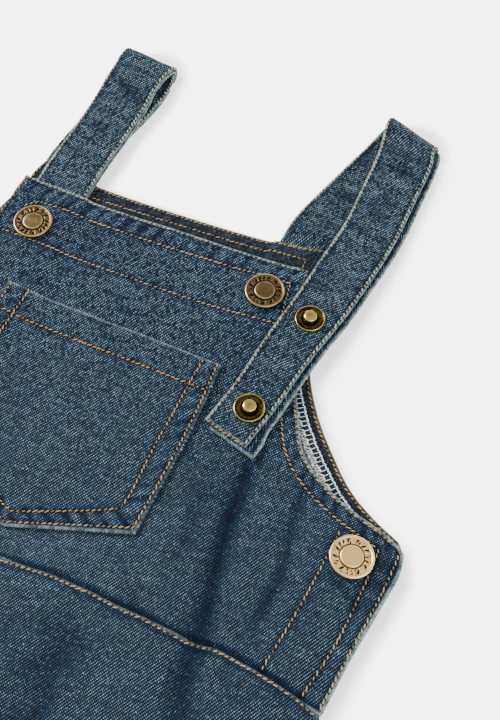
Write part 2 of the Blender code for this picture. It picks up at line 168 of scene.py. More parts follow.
BIB_ROW_1_IN = 1.15                 # distance from the bib's top edge
# SEAM_SHADE is a painted shadow on the upper front just above the waist seam
SEAM_SHADE = 0.4                    # how dark the cloth is just above the waist seam
SEAM_ROW_IN = 1.2                   # distance of the waist row below its edge
BACK_ROW_IN = 1.4
ROOT_RISE = 1.7                     # the back's top hem lies this much higher over the strap roots
ROOT_TUCK = 4.2                     # and the straps reach this far under it
BACK_ROW_2 = ((-66.0, 348.0), (-30.0, 348.4), (0.0, 349.0), (30.0, 349.8), (63.5, 351.6))
BACK_TACK = ((63.5, 351.6), (63.3, 346.6))
HEM_IN = 3.6                        # the armhole hem's outer edge lies this far in
HEM_WIDTH = 8.4
HEM_TOP = 334.0                     # it ends under the strap
HEM_WALL = 0.8
OVERLOCK_PITCH = 2.0
NEEDLE_ROW_IN = 7.7                 # distance of the overlock's gold row from the back's edge
POCKET_ROW_OUT = 1.8                # distance from the pocket's edge
# The inner row from the left top down round the point to the right top
POCKET_ROW_IN = (
    (-36.8, 290.6), (-38.2, 267.0), (-38.0, 247.7), (-37.2, 223.9), (-35.6, 217.9), (-28.5, 213.8),
    (-12.0, 206.8), (2.2, 201.2), (16.1, 206.6), (32.9, 214.0), (39.7, 217.5), (40.9, 223.9),
    (41.1, 247.7), (42.5, 275.5), (43.3, 287.6),
)
POCKET_HEM_WIDTH = 9.4              # its side hems reach this far in
POCKET_HEM_IN = 13.2                # the hem row lies this far below its top edge

# Creases that show as dark soft lines: points x, y, half width, depth, and darkness of the shade
# painted along them
CREASES = (
    (((77.0, 262.0), (78.1, 237.7), (79.8, 221.4), (82.4, 205.2), (85.0, 189.0)), 3.3, 0.6, 0.40),
    (((83.6, 204.0), (85.2, 183.4), (86.0, 174.0), (88.4, 164.0), (91.9, 150.0), (94.0, 128.0)),
     4.6, 0.6, 0.36),
    (((100.4, 256.0), (101.0, 238.0), (103.8, 219.8), (103.1, 206.9), (101.5, 190.0)),
     2.6, 0.4, 0.34),
    (((43.4, 178.0), (44.0, 159.4), (44.3, 141.0), (43.0, 118.0)), 4.5, 0.3, 0.22),
    (((112.0, 226.0), (122.0, 222.5), (133.0, 217.0), (143.0, 214.0)), 2.0, 0.35, 0.2),
    (((62.0, 240.0), (66.0, 226.0), (67.0, 212.0), (64.0, 198.0)), 3.0, 0.25, 0.12),
    (((-76.0, 262.0), (-79.0, 228.0), (-83.0, 196.0), (-80.0, 160.0), (-82.0, 130.0)),
     4.4, 0.5, 0.34),
    (((-99.0, 250.0), (-103.0, 226.0), (-99.0, 190.0), (-95.0, 168.0)), 3.4, 0.4, 0.24),
    (((-35.0, 182.0), (-39.0, 150.0), (-43.0, 100.0)), 4.6, 0.3, 0.2),
    (((-114.0, 219.0), (-128.0, 213.0), (-141.0, 209.0)), 2.6, 0.3, 0.16),
)
# How far the waist seam wanders above its even curve: x, distance
SEAM_WANDER = np.array((
    (-134.9, 0.0), (-120.0, 1.4), (-104.0, 2.2), (-92.0, 1.0), (-80.0, 1.2), (-60.0, 2.2),
    (-40.0, 1.4), (-20.0, 2.0), (7.5, 0.8), (27.0, 2.4), (43.0, 2.3), (56.0, 1.2), (64.0, 1.6),
    (74.0, 1.0), (82.0, 1.0), (91.0, 2.6), (96.0, 2.9), (109.0, 2.4), (126.0, 1.4), (134.9, 0.0),
))


def metres(points):
    """Pattern points in millimetres, as points of the frame in metres."""
    return (np.asarray(points, float) - (0.0, LENGTH / 2, 0.0)) * MM


def ease(t):
    """0 below 0, 1 above 1 and a smooth rise between: 3 t squared less 2 t cubed."""
    t = np.clip(t, 0.0, 1.0)
    return t * t * (3.0 - 2.0 * t)


def unit(vectors):
    """The same directions with length 1."""
    return vectors / np.linalg.norm(vectors, axis=-1, keepdims=True)


def past(value, limit, soft):
    """0 up to the limit, and 1 from soft beyond it."""
    return ease((value - limit) / soft)


def within(value, limit, soft):
    """1 until soft short of the limit, and 0 past it."""
    return ease((limit - value) / soft)


def run_along(points):
    """The distance run along a line, at each of its points."""
    return np.append(0.0, np.cumsum(np.linalg.norm(np.diff(points, axis=0), axis=1)))


def read_off(table, run, at):
    """Every column of a table whose rows lie at the distances run, read at other distances."""
    return np.column_stack([np.interp(at, run, column) for column in table.T])


def curve(rows, steps):
    """A smooth line through rows: a cubic between each two, with slopes from their neighbours.

    steps is a number of even steps, or shares of the whole length from 0 to 1.
    """
    rows = np.asarray(rows, float)
    chord = np.linalg.norm(np.diff(rows[:, :3], axis=0), axis=1)
    at = np.append(0.0, np.cumsum(chord))
    slope = np.gradient(rows, at, axis=0)
    t = np.linspace(0.0, 1.0, 24, endpoint=False)[None, :, None]
    step = chord[:, None, None]
    fine = ((2 * t**3 - 3 * t**2 + 1) * rows[:-1, None]
            + (t**3 - 2 * t**2 + t) * step * slope[:-1, None]
            + (3 * t**2 - 2 * t**3) * rows[1:, None]
            + (t**3 - t**2) * step * slope[1:, None])
    fine = np.vstack([fine.reshape(-1, rows.shape[1]), rows[-1:]])
    along = run_along(fine[:, :3])
    shares = np.linspace(0.0, 1.0, steps) if np.isscalar(steps) else steps
    return read_off(fine, along, shares * along[-1])


def resample(path, pitch):
    """The same line in even steps of about pitch."""
    along = run_along(path)
    count = max(2, int(round(along[-1] / pitch)) + 1)
    steps = np.linspace(0.0, along[-1], count)
    return read_off(path, along, steps)


def to_path(path, x, y):
    """How far points lie from a line of (x, y) points, and how far along it their nearest is."""
    flat = np.column_stack([np.ravel(x), np.ravel(y)])
    nearest = np.full(len(flat), np.inf)
    along = np.zeros(len(flat))
    before = 0.0
    for start, end in zip(path[:-1], path[1:]):
        run = end - start
        length = math.hypot(*run)
        t = np.clip((flat - start) @ run / length**2, 0.0, 1.0)
        distance = np.hypot(*(flat - start - run * t[:, None]).T)
        closer = distance < nearest
        nearest[closer] = distance[closer]
        along[closer] = before + t[closer] * length
        before += length
    return nearest.reshape(np.shape(x)), along.reshape(np.shape(x))


def swell(x, y, size, seed):
    """Uneven soft waves from about -1 to 1: a sum of sines in random directions near one length."""
    random = np.random.default_rng(seed)
    total = np.zeros(np.shape(x))
    for _ in range(8):
        angle, phase = random.uniform(0.0, 2 * math.pi, 2)
        length = size * random.uniform(0.7, 1.5)
        total += np.sin((x * math.cos(angle) + y * math.sin(angle)) * 2 * math.pi / length + phase)
    return total / 4


RIPPLE_KNOTS = 320                  # random heights along a line
RIPPLE_BEFORE = 60                  # of them, so many lie before 0


def ripple(along, pitch, seed):
    """Uneven ups and downs from -1 to 1 along a line: random heights at uneven places, eased."""
    random = np.random.default_rng(seed)
    number = np.arange(RIPPLE_KNOTS)
    knots = (number - RIPPLE_BEFORE + random.uniform(-0.3, 0.3, RIPPLE_KNOTS)) * pitch
    heights = random.uniform(0.35, 1.0, RIPPLE_KNOTS) * np.where(number % 2, 1.0, -1.0)
    place = np.interp(along, knots, number)
    low = np.clip(place.astype(int), 0, RIPPLE_KNOTS - 2)
    between = ease(place - low)
    return heights[low] * (1 - between) + heights[low + 1] * between


def mirrored(path):
    """The same row on the garment's other side."""
    return np.asarray(path, float) * (-1.0, 1.0)


FRONT_EDGE = np.vstack([curve(FRONT_LEG, 20), curve(FRONT_HIP, 12),
                        curve(FRONT_SIDE, 12), curve(FRONT_ARMHOLE, 40)])[:, ::-1]
ARMHOLE_EDGE = curve(FRONT_ARMHOLE, 40)[:, ::-1]
LEG_EDGE = curve(FRONT_LEG, 20)[:, ::-1]


def inside_of(edge, by):
    """A line beside an edge whose inner side is on the left as y grows: its points moved in."""
    run = unit(np.gradient(edge, axis=0))
    return edge + np.column_stack([-run[:, 1], run[:, 0]]) * by


def bib_top(x):
    """Height on the pattern of the bib's top edge."""
    top_y, half_width = FRONT_ARMHOLE[-1]
    return top_y - BIB_DIP * (1 - np.minimum(np.abs(x) / half_width, 1.0) ** 3)


def waist_seam(x):
    """Height on the pattern of the waist seam."""
    low_y, half_width = FRONT_SIDE[0]
    return low_y + WAIST_RISE * (1 - np.minimum(np.abs(x) / half_width, 1.0) ** 3)


def seam_line(x):
    """Height on the pattern of the lower front's top edge, which is sewn on unevenly."""
    return waist_seam(x) + np.interp(x, SEAM_WANDER[:, 0], SEAM_WANDER[:, 1])


def back_shift(y):
    """How far the back lies to the right of the front at this height."""
    return BACK_SHIFT * ease((y - BACK_SHIFT_FROM_Y) / (BACK_ARMHOLE[-1][0] - BACK_SHIFT_FROM_Y))


def back_top(x):
    """Height on the pattern of the back's top edge."""
    top_y, half_width = BACK_ARMHOLE[-1]
    u = (x - BACK_SHIFT) / half_width
    return top_y - BACK_DIP * (1 - np.minimum(np.abs(u), 1.0) ** 3) + BACK_TILT * u


def both_sides(path):
    """A row and its mirror image."""
    path = np.asarray(path, float)
    return [path, mirrored(path)]


def front_rows():
    """Every sewn row of the upper front, by name, as smooth lines of (x, y)."""
    half = FRONT_ARMHOLE[-1][1] - 1.0
    x = np.linspace(-half, half, 60)
    rows = {"bib_1": [np.column_stack([x, bib_top(x) - BIB_ROW_1_IN])],
            "bib_2": [curve(BIB_ROW_2, 40)],
            "bib_3": [curve(BIB_ROW_3, 40)],
            "patch": [curve(BIB_PATCH_LEFT, 8), curve(BIB_PATCH_RIGHT, 8)]}
    for name, distance in zip(("armhole_1", "armhole_2"), ARMHOLE_ROWS):
        row = inside_of(ARMHOLE_EDGE, distance)
        row = row[row[:, 0] < PLACKET_OUTER[0][0] + 7.0 - distance]
        low = row[row[:, 1] < ARMHOLE_ROWS_TOP]
        rows[name] = [low, mirrored(row if name == "armhole_1" else low)]
    rows["placket"] = both_sides(curve(PLACKET_INNER, 16)) + both_sides(curve(PLACKET_OUTER, 16))
    rows["placket_edge"] = both_sides(curve(PLACKET_EDGE, 16))
    return rows


FRONT_ROWS = front_rows()
CREASE_LINES = [(curve(points, 24), half, depth, dark) for points, half, depth, dark in CREASES]


def front_form(x, y):
    """The front's upper face as the solids have it: risen from its edges, with soft folds."""
    edge = np.interp(y, FRONT_LIFT[:, 0], FRONT_LIFT[:, 1])
    middle = np.interp(y, FRONT_LIFT[:, 0], FRONT_LIFT[:, 2])
    height = edge + (middle - edge) * ease(to_path(FRONT_EDGE, np.abs(x), y)[0] / ROLL_WIDTH)
    for x_top, y_top, x_low, y_low, half_width, depth in FRONT_FOLDS:
        along = np.clip((y_top - y) / (y_top - y_low), 0.0, 1.0)
        off = (x - x_top - (x_low - x_top) * along) / half_width
        height = height - depth * np.sin(math.pi * along) ** FOLD_ENDS * np.exp(-off * off)
    for x_middle, y_low, y_top, half_width, rise in FRONT_BULGES:
        beside = np.maximum(np.abs(x - x_middle) - half_width, 0.0)
        beyond = np.maximum(np.maximum(y_low - y, y - y_top), 0.0)
        height = height + rise * ease(1.0 - np.hypot(beside, beyond) / BULGE_SLOPE)
    return height + CLOTH


# Hems and folds that raise the front: how far in from the edge they reach
BIB_HEM = 10.2
BIB_FACING = 31.0
BIB_FROM = 300.0                    # height on the pattern above which the front is the bib
PLACKET_TOP = 243.0                 # heights on the pattern between which the placket lies
PLACKET_FOOT = 183.0
SEAM_LAP = 0.9                      # how deep the waist seam presses the upper front down
# ROW_SHADE: how dark the shadow painted beside each sewn row is
ROW_DENT = 0.28                     # how deep a sewn row pulls the cloth in, and how dark
ROW_SHADE = 0.34
CREASE_ENDS = 14.0                  # a crease fades in and out over this length


def channel(distance, half_width=0.9):
    """The dent that a sewn row pulls into the cloth: a bell curve of the distance from it."""
    return np.exp(-(distance / half_width) ** 2)


def front_relief(x, y):
    """What hems, rows, puckers and creases add to the front: height, and painted light and shade,
    with some uneven tone.
    """
    height = 0.35 * swell(x, y, 46.0, 11) + 0.10 * swell(x, y, 17.0, 12)
    shade = 0.10 * swell(x, y, 60.0, 13) + 0.05 * swell(x, y, 14.0, 14)

    # The bib's top hem and its facing, puckered aslant
    below_top = bib_top(x) - y
    on_bib = past(y, BIB_FROM, 6.0)
    height += on_bib * (0.35 * within(below_top, BIB_HEM, 1.2)
                        + 0.18 * within(below_top, BIB_FACING, 1.4))
    hem = on_bib * past(below_top, 1.2, 1.6) * within(below_top, BIB_HEM - 0.6, 1.6)
    pull = ripple(x + 0.35 * below_top + 80.0, 3.4, 21)
    height += 0.32 * hem * pull
    # painted light and shade on the puckers: their rises lighter and their dips darker, with wear on
    # the rises
    shade += 0.48 * hem * pull
    facing = on_bib * past(below_top, 9.8, 2.0) * within(below_top, BIB_FACING - 0.5, 8.0)
    height += 0.10 * facing * ripple(x - 0.25 * below_top + 80.0, 5.2, 22)

    # The armhole's hem and the cloth it pulls beside it
    side = np.abs(x)
    to_armhole, along = to_path(ARMHOLE_EDGE, side, y)
    height += 0.35 * within(to_armhole, ARMHOLE_ROWS[1] + 0.5, 1.2)
    hem = past(to_armhole, 0.8, 1.4) * within(to_armhole, ARMHOLE_ROWS[1] - 0.2, 1.6)
    pull = ripple(along + 0.7 * to_armhole, 3.0, 23)
    height += 0.28 * hem * pull
    # painted light and shade on the armhole hem's puckers, with wear on the rises
    shade += 0.42 * hem * pull
    beyond = within(to_armhole, ARMHOLE_ROWS[1] + 9.0, 9.0) * past(to_armhole, 6.4, 1.0)
    height += 0.12 * beyond * ripple(along + 0.5 * to_armhole, 4.2, 24)

    # The side's placket
    inner = np.array(PLACKET_INNER[::-1])
    from_inner = side - np.interp(y, inner[:, 1], inner[:, 0])
    placket = past(from_inner, 0.0, 1.2) * within(y, PLACKET_TOP, 4.0) * past(y, PLACKET_FOOT, 3.0)
    height += 0.3 * placket
    edge_pull = past(from_inner, 14.0, 6.0) * within(y, 246.0, 6.0) * ripple(y - 170.0, 4.0, 25)
    height += 0.22 * edge_pull
    # painted light and shade where the placket's edge puckers
    shade += 0.16 * edge_pull

    # Every sewn row and crease, and the step down at the waist seam, each with painted shade beside
    # or along it
    for path in sum(FRONT_ROWS.values(), []):
        distance = to_path(path[::3] if len(path) > 24 else path, x, y)[0]
        height -= ROW_DENT * channel(distance)
        # painted shadow beside the row
        shade -= ROW_SHADE * channel(distance, 1.4)
    for path, half_width, depth, dark in CREASE_LINES:
        distance, along = to_path(path, x, y)
        ends = ease(along / CREASE_ENDS) * ease((np.max(along) - along) / CREASE_ENDS + 0.1)
        height -= depth * ends * channel(distance, half_width)
        # painted shade along the crease
        shade -= dark * ends * channel(distance, half_width * 1.05)
    above_seam = y - seam_line(x)
    height -= SEAM_LAP * within(above_seam, 2.0, 2.0)
    # painted shadow just above the waist seam
    shade -= SEAM_SHADE * within(above_seam, 3.2, 2.2)
    return height, shade


def seam_relief(x, y):
    """The lower front beside the waist seam: its edge lies on the upper front, on a ridge."""
    below = seam_line(x) - y
    height, shade = front_relief(x, y)
    height += SEAM_LAP * past(below, -2.0, 2.0)
    # the lower front does not take that painted shadow
    shade += SEAM_SHADE * past(below, -3.2, 2.2)
    ridge = within(below, 11.0, 3.5)
    height += 0.55 * ridge + 0.12 * ridge * ripple(x + 150.0, 5.0, 31)
    height -= 0.30 * channel(below - SEAM_ROW_IN)
    # painted shadow beside the waist row
    shade -= 0.3 * channel(below - SEAM_ROW_IN - 0.9, 1.1)
    to_leg, along = to_path(LEG_EDGE, np.abs(x), y)
    for distance in LEG_ROWS:
        height -= ROW_DENT * channel(to_leg - distance)
    leg_hem = past(to_leg, 1.0, 1.4) * within(to_leg, LEG_ROWS[1], 2.0)
    pull = leg_hem * ripple(along + 0.6 * to_leg, 3.4, 32)
    # the leg hem's puckers: painted light on their rises and painted shade in their dips, with wear
    return height + 0.2 * pull, shade + 0.26 * pull


def back_relief(x, y):
    """The back's inner face: its top hem and its sewn rows."""
    below_top = back_top(x) - y
    height = 0.08 * swell(x, y, 40.0, 41)
    shade = 0.10 * swell(x, y, 50.0, 42)
    pull = ripple(x + 0.4 * below_top + 90.0, 3.6, 43)
    for middle in (STRAP_LEFT_BACK[0][0], STRAP_RIGHT_BACK[0][0]):
        beside = within(np.abs(x - middle), STRAP_WIDTH / 2 + 4.0, 3.0)
        height += ROOT_RISE * beside * within(below_top, 14.0, 8.0)
    hem = within(below_top, 10.0, 1.4)
    height += 0.2 * hem + 0.16 * pull * hem * past(below_top, 1.0, 1.5)
    # painted light and shade on the top hem's puckers, with wear on the rises
    shade += 0.22 * pull * hem * past(below_top, 1.0, 1.5)
    height -= 0.25 * channel(below_top - BACK_ROW_IN)
    height -= 0.25 * channel(to_path(curve(BACK_ROW_2, 20), x, y)[0])
    return height, shade


def graded(count, bunch):
    """Numbers from -1 to 1 that lie closer together near both ends: a line bent by a sine."""
    t = np.linspace(-1.0, 1.0, count)
    return bunch * np.sin(math.pi / 2 * t) + (1 - bunch) * t


def numbered(rows, columns):
    """The numbers of a grid's points, row by row."""
    return np.arange(rows * columns).reshape(rows, columns)


def grid_quads(k):
    """Faces of a grid, from the numbers of its points."""
    return np.stack([k[:-1, :-1], k[:-1, 1:], k[1:, 1:], k[1:, :-1]], axis=-1).reshape(-1, 4)


def tube_faces(rings, sides):
    """Faces of a tube of rings of points, closed by one more point at each end after them."""
    k = numbered(rings, sides)
    after = np.roll(k, -1, axis=1)
    quads = np.stack([k[:-1], after[:-1], after[1:], k[1:]], axis=-1).reshape(-1, 4)
    first, last = rings * sides, rings * sides + 1
    triangles = np.vstack([np.column_stack([np.full(sides, first), after[0], k[0]]),
                           np.column_stack([np.full(sides, last), k[-1], after[-1]])])
    return quads, triangles


def joined(parts):
    """Several parts, each of points, quads and triangles, as one."""
    starts = np.cumsum([0] + [len(points) for points, _, _ in parts[:-1]])
    return (np.vstack([points for points, _, _ in parts]),
            np.vstack([quads + start for (_, quads, _), start in zip(parts, starts)]),
            np.vstack([triangles + start for (_, _, triangles), start in zip(parts, starts)]))


def grid_normals(points):
    """Unit normals of a grid: the cross product of its two directions."""
    across = np.gradient(points, axis=1)
    along = np.gradient(points, axis=0)
    return unit(np.cross(across, along))


def border(rows, columns):
    """Indices round a grid, with its faces on the left."""
    k = numbered(rows, columns)
    return np.concatenate([k[0, :-1], k[:-1, -1], k[-1, :0:-1], k[:0:-1, 0]])


def add_mesh(name, points, quads, material, triangles=None, uv=None, values=None):
    """A smooth piece from points in pattern millimetres, with a cloth map and values per point."""
    faces = quads.tolist()
    if triangles is not None:
        faces += triangles.tolist()
    mesh = bpy.data.meshes.new(name)
    mesh.from_pydata(metres(points).tolist(), [], faces)
    mesh.shade_smooth()
    if uv is not None:
        corner = np.empty(len(mesh.loops), np.int32)
        mesh.loops.foreach_get("vertex_index", corner)
        layer = mesh.uv_layers.new(name="cloth")
        layer.data.foreach_set("uv", np.asarray(uv, np.float32)[corner].ravel())
    for key, value in (values or {}).items():
        attribute = mesh.attributes.new(key, "FLOAT", "POINT")
        attribute.data.foreach_set("value", np.asarray(value, np.float32).ravel())
    mesh.materials.append(material)
    obj = bpy.data.objects.new(name, mesh)
    bpy.context.scene.collection.objects.link(obj)
    return obj


# The rings of a shell's rim from the top down: their angles, and how much further from the
# edge each counts for wear
RIM_ANGLES = np.radians((50.0, 20.0, -15.0, -50.0))
RIM_UNDER = (0.0, 0.15, 0.7, 1.2)


def shell(name, top, wall, uv, shade, worn, material):
    """A closed wall under a grid of points.

    The lower face lies one wall below along the normals. Round the border the two
    faces meet over a half circle of radius wall / 2 that bulges outwards. worn says
    how pale the edges are rubbed, from 0 to 1.
    """
    rows, columns, _ = top.shape
    up = grid_normals(top).reshape(-1, 3)
    flat = top.reshape(-1, 3)
    rim = border(rows, columns)
    run = np.roll(flat[rim], -1, axis=0) - np.roll(flat[rim], 1, axis=0)
    outward = unit(np.cross(run, up[rim]))
    rounds = [flat[rim] - up[rim] * wall / 2
              + (outward * math.cos(a) + up[rim] * math.sin(a)) * wall / 2
              for a in RIM_ANGLES]
    points = np.vstack([flat, flat - up * wall] + rounds)
    quads = grid_quads(numbered(rows, columns))
    faces = [quads, quads[:, ::-1] + len(flat)]
    loops = [2 * len(flat) + k * len(rim) + np.arange(len(rim)) for k in range(len(rounds))]
    loops = [rim, *loops, rim + len(flat)]
    for upper, lower in zip(loops[:-1], loops[1:]):
        faces.append(np.column_stack([lower, np.roll(lower, -1), np.roll(upper, -1), upper]))
    outline = flat[rim][::2, :2]
    outline = np.vstack([outline, outline[:1]])
    edge = to_path(outline, flat[:, 0], flat[:, 1])[0]
    values = {"edge": np.concatenate([edge, edge] + [edge[rim] + under for under in RIM_UNDER])}
    for key, given in (("shade", shade), ("worn", worn)):
        given = np.broadcast_to(given, (rows, columns)).ravel()
        values[key] = np.concatenate([given, given] + [given[rim]] * len(rounds))
    uv = uv.reshape(-1, 2)
    return add_mesh(name, points, np.vstack(faces), material,
                    uv=np.vstack([uv, uv] + [uv[rim]] * len(rounds)), values=values)


def panel_grid(outline, shares, columns, low_bow, top_bow, top_tilt, shift, inset):
    """Rows of points between two mirrored side edges; low_bow and top_bow raise the middle."""
    edge = inside_of(outline[:, ::-1], inset)
    length = run_along(edge)
    at = inset + shares * (length[-1] - 2 * inset)
    half_width = np.interp(at, length, edge[:, 0])[:, None]
    y_edge = np.interp(at, length, edge[:, 1])[:, None]
    v = shares[:, None]
    u = graded(columns, 0.55)[None, :]
    bow = low_bow * (1 - v) ** 2 + top_bow * v**2
    y = y_edge + bow * (1 - np.abs(u) ** 3) + top_tilt * u * v**4
    return u * half_width + shift(y_edge), y


def no_shift(y):
    """The front panels are centred."""
    return 0.0 * y


def share(count, bunch):
    """Shares from 0 to 1 that lie closer together near both ends."""
    return (graded(count, bunch) + 1.0) / 2.0


def front_top(x, y):
    """Upper face of the upper front, with everything on it."""
    return front_form(x, y) + front_relief(x, y)[0]


def back_face(x, y):
    """Upper face of the back."""
    return CLOTH + back_relief(x, y)[0]


def hem_face(x, y):
    """Upper face of the armhole hems, which lie flat."""
    return CLOTH + GAP + HEM_WALL + 0.0 * x


# Rows and columns of points on each panel
BIB_GRID = (180, 200)
SEAT_GRID = (130, 170)
BACK_GRID = (130, 120)
BACK_SEAT_GRID = (70, 90)
POCKET_GRID = (110, 120)


def make_front(denim):
    """Bib and front body in one piece, and the front of the seat below the waist seam."""
    outline = np.vstack([curve(FRONT_SIDE, 60), curve(FRONT_ARMHOLE, 200)])
    x, y = panel_grid(outline, share(BIB_GRID[0], 0.5), BIB_GRID[1], WAIST_RISE, -BIB_DIP, 0.0,
                      no_shift, CLOTH / 2)
    relief, shade = front_relief(x, y)
    top = np.stack([x, y, front_form(x, y) + relief], axis=-1)
    beside_strap = past(np.abs(x), 60.0, 4.0) * past(y, BIB_FROM, 20.0)
    worn = 0.85 - 0.7 * beside_strap * ease((bib_top(x) - y) / 1.2)
    stretch = 1.0 - (1.0 - BIB_WEAVE) * past(y, BIB_WEAVE_FROM, 80.0)
    uv = np.stack([x * stretch, BIB_WEAVE_FROM + (y - BIB_WEAVE_FROM) * stretch], axis=-1)
    upper = shell("denim_front_upper", top, CLOTH, uv, shade, worn, denim)
    outline = np.vstack([curve(FRONT_LEG, 100), curve(FRONT_HIP, 60)])
    x, y = panel_grid(outline, share(SEAT_GRID[0], 0.5), SEAT_GRID[1], 0.0, WAIST_RISE, 0.0,
                      no_shift, CLOTH / 2)
    y = y + (seam_line(x) - waist_seam(x) + CLOTH / 2) * ease(1.0 - (waist_seam(x) - y) / 14.0)
    relief, shade = seam_relief(x, y)
    top = np.stack([x, y, front_form(x, y) + relief], axis=-1)
    worn = 0.7 - 0.45 * past(y, 150.0, 20.0)
    lower = shell("denim_front_lower", top, CLOTH, np.stack([x, y + 0.4], axis=-1), shade,
                  worn, denim)
    return upper, lower


def make_back(denim):
    """Back body and the back of the seat, flat on the floor."""
    outline = np.vstack([curve(BACK_SIDE, 60), curve(BACK_ARMHOLE, 200)])
    x, y = panel_grid(outline, share(BACK_GRID[0], 0.5), BACK_GRID[1], WAIST_RISE, -BACK_DIP,
                      BACK_TILT, back_shift, CLOTH / 2)
    relief, shade = back_relief(x, y)
    top = np.stack([x, y, CLOTH + relief], axis=-1)
    upper = shell("denim_back_upper", top, CLOTH, np.stack([x, y], axis=-1), shade, 0.8, denim)
    outline = np.vstack([curve(BACK_LEG, 100), curve(BACK_HIP, 60)])
    x, y = panel_grid(outline, share(BACK_SEAT_GRID[0], 0.5), BACK_SEAT_GRID[1], 0.0, WAIST_RISE,
                      0.0, no_shift, CLOTH / 2)
    top = np.stack([x, y, CLOTH + 0.0 * x], axis=-1)
    lower = shell("denim_back_lower", top, CLOTH, np.stack([x, y], axis=-1), 0.0, 0.6, denim)
    return upper, lower


FLOOR_NEAR_X = (-230.0, 230.1)      # the part of the floor whose points lie close together
FLOOR_NEAR_Y = (-70.0, 510.1)
FLOOR_GLOW = 4.4                    # brings the pale floor near white, as in the photo
# LEAST_GLOW, SHADE_REACH and SHADE_TURN shape a painted shadow: the floor glows less beside the
# cloth
LEAST_GLOW = 0.28                   # the share of it left right beside the cloth
SHADE_REACH = 5.0                   # beyond this far from the cloth the floor glows in full
SHADE_STEP = 2.5                    # between the floor's points near the cloth
SHADE_TURN = (2.8, -3.6)            # the shade falls this far to the right and down
FLOOR_REACH = 3000.0                # from the middle to the floor's edges


def outside_by(path, x, y):
    """Distance outside a piece given by its right edge (x, y) and mirrored; 0 within it."""
    width = np.interp(y, path[:, 1], path[:, 0], left=0.0, right=0.0)
    return np.where(np.abs(x) < width, 0.0, to_path(path[::2], np.abs(x), y)[0])


def make_floor(strap_lines):
    """A plain pale floor, far wider than the view, that glows less close to the cloth's right: a
    painted shadow.
    """
    near_x = np.arange(*FLOOR_NEAR_X, SHADE_STEP)
    near_y = np.arange(*FLOOR_NEAR_Y, SHADE_STEP)
    x, y = np.meshgrid(np.concatenate([[-FLOOR_REACH], near_x, [FLOOR_REACH]]),
                       np.concatenate([[-FLOOR_REACH], near_y, [FLOOR_REACH]]))
    moved_x, moved_y = x - SHADE_TURN[0], y - SHADE_TURN[1]
    back = np.vstack([curve(BACK_LEG, 30), curve(BACK_HIP, 20), curve(BACK_SIDE, 20),
                      curve(BACK_ARMHOLE, 60)])[:, ::-1]
    gap = np.minimum(outside_by(FRONT_EDGE, moved_x, moved_y),
                     outside_by(back, moved_x - back_shift(moved_y), moved_y))
    for line in strap_lines:
        off = to_path(line[::6, :2], moved_x, moved_y)[0]
        gap = np.minimum(gap, np.maximum(off - STRAP_WIDTH / 2, 0.0))
    glow_with_painted_shadow = FLOOR_GLOW * (LEAST_GLOW + (1.0 - LEAST_GLOW) * ease(gap / SHADE_REACH))
    points = np.stack([x, y, 0.0 * x], axis=-1).reshape(-1, 3)
    material, w, shader = blank_material("pale_floor")
    w.dress(shader, {"Base Color": (0.86, 0.86, 0.86), "Roughness": 0.9,
                     "Specular IOR Level": 0.1, "Emission Color": WHITE,
                     "Emission Strength": w.value("glow_with_painted_shadow")})
    add_mesh("floor", points, grid_quads(numbered(*x.shape)), material,
                      values={"glow_with_painted_shadow": glow_with_painted_shadow})


WHITE = (1.0, 1.0, 1.0)
# The camera: focal length for a 36 mm frame, place in metres, height above the table as an
# angle, and how far it stands round to the right
LENS = 53.04
FRAME_WIDTH = 36.0
CAMERA_PLACE = (0.139746, -0.1193, 0.378555)
CAMERA_ABOVE = 60.5
CAMERA_ROUND = 22.13
# Soft square lights: name, place, target, size, power, colour
LIGHTS = (
    ("key", (-1.0, 0.28, 0.85), (0.03, 0.0, 0.0), 0.6, 24.0, (1.0, 0.99, 0.97)),
    ("fill", (0.8, -0.6, 0.9), (0.0, 0.0, 0.0), 1.2, 8.0, (0.97, 0.98, 1.0)),
)
ROOM_LIGHT = 0.92                   # strength of the even white light from all round


def add_camera():
    """The photo's view: from the lower right, looking down at the end of the right strap."""
    data = bpy.data.cameras.new("photo_view")
    data.lens = LENS
    data.sensor_width = FRAME_WIDTH
    camera = bpy.data.objects.new("photo_view", data)
    camera.location = CAMERA_PLACE
    camera.rotation_euler = (math.radians(90.0 - CAMERA_ABOVE), 0.0, math.radians(CAMERA_ROUND))
    bpy.context.scene.collection.objects.link(camera)
    bpy.context.scene.camera = camera


def add_lights():
    """The soft lamps, each turned to its target, and an even white room."""
    for name, place, target, size, power, colour in LIGHTS:
        data = bpy.data.lights.new(name, "AREA")
        data.shape = "SQUARE"
        data.size = size
        data.energy = power
        data.color = colour
        lamp = bpy.data.objects.new(name, data)
        lamp.location = place
        turn = (Vector(target) - Vector(place)).to_track_quat("-Z", "Y")
        lamp.rotation_euler = turn.to_euler()
        bpy.context.scene.collection.objects.link(lamp)
    world = bpy.data.worlds.new("soft_room")
    world.use_nodes = True
    room = world.node_tree.nodes["Background"]
    room.inputs["Color"].default_value = (*WHITE, 1.0)
    room.inputs["Strength"].default_value = ROOM_LIGHT
    bpy.context.scene.world = world


def pocket_frame(u, v):
    """A point of the pocket by shares: u from -1 at its left to 1, v from its point to its top."""
    side = curve(POCKET_SIDE, 60)
    y_side = np.interp(v, np.linspace(0.0, 1.0, 60), side[:, 0])
    half_width = np.interp(v, np.linspace(0.0, 1.0, 60), side[:, 1])
    x = POCKET_X + u * half_width
    y = y_side - POCKET_POINT_DROP * (1 - v) * (1 - np.abs(u)) - POCKET_TILT * u * half_width
    return x, y


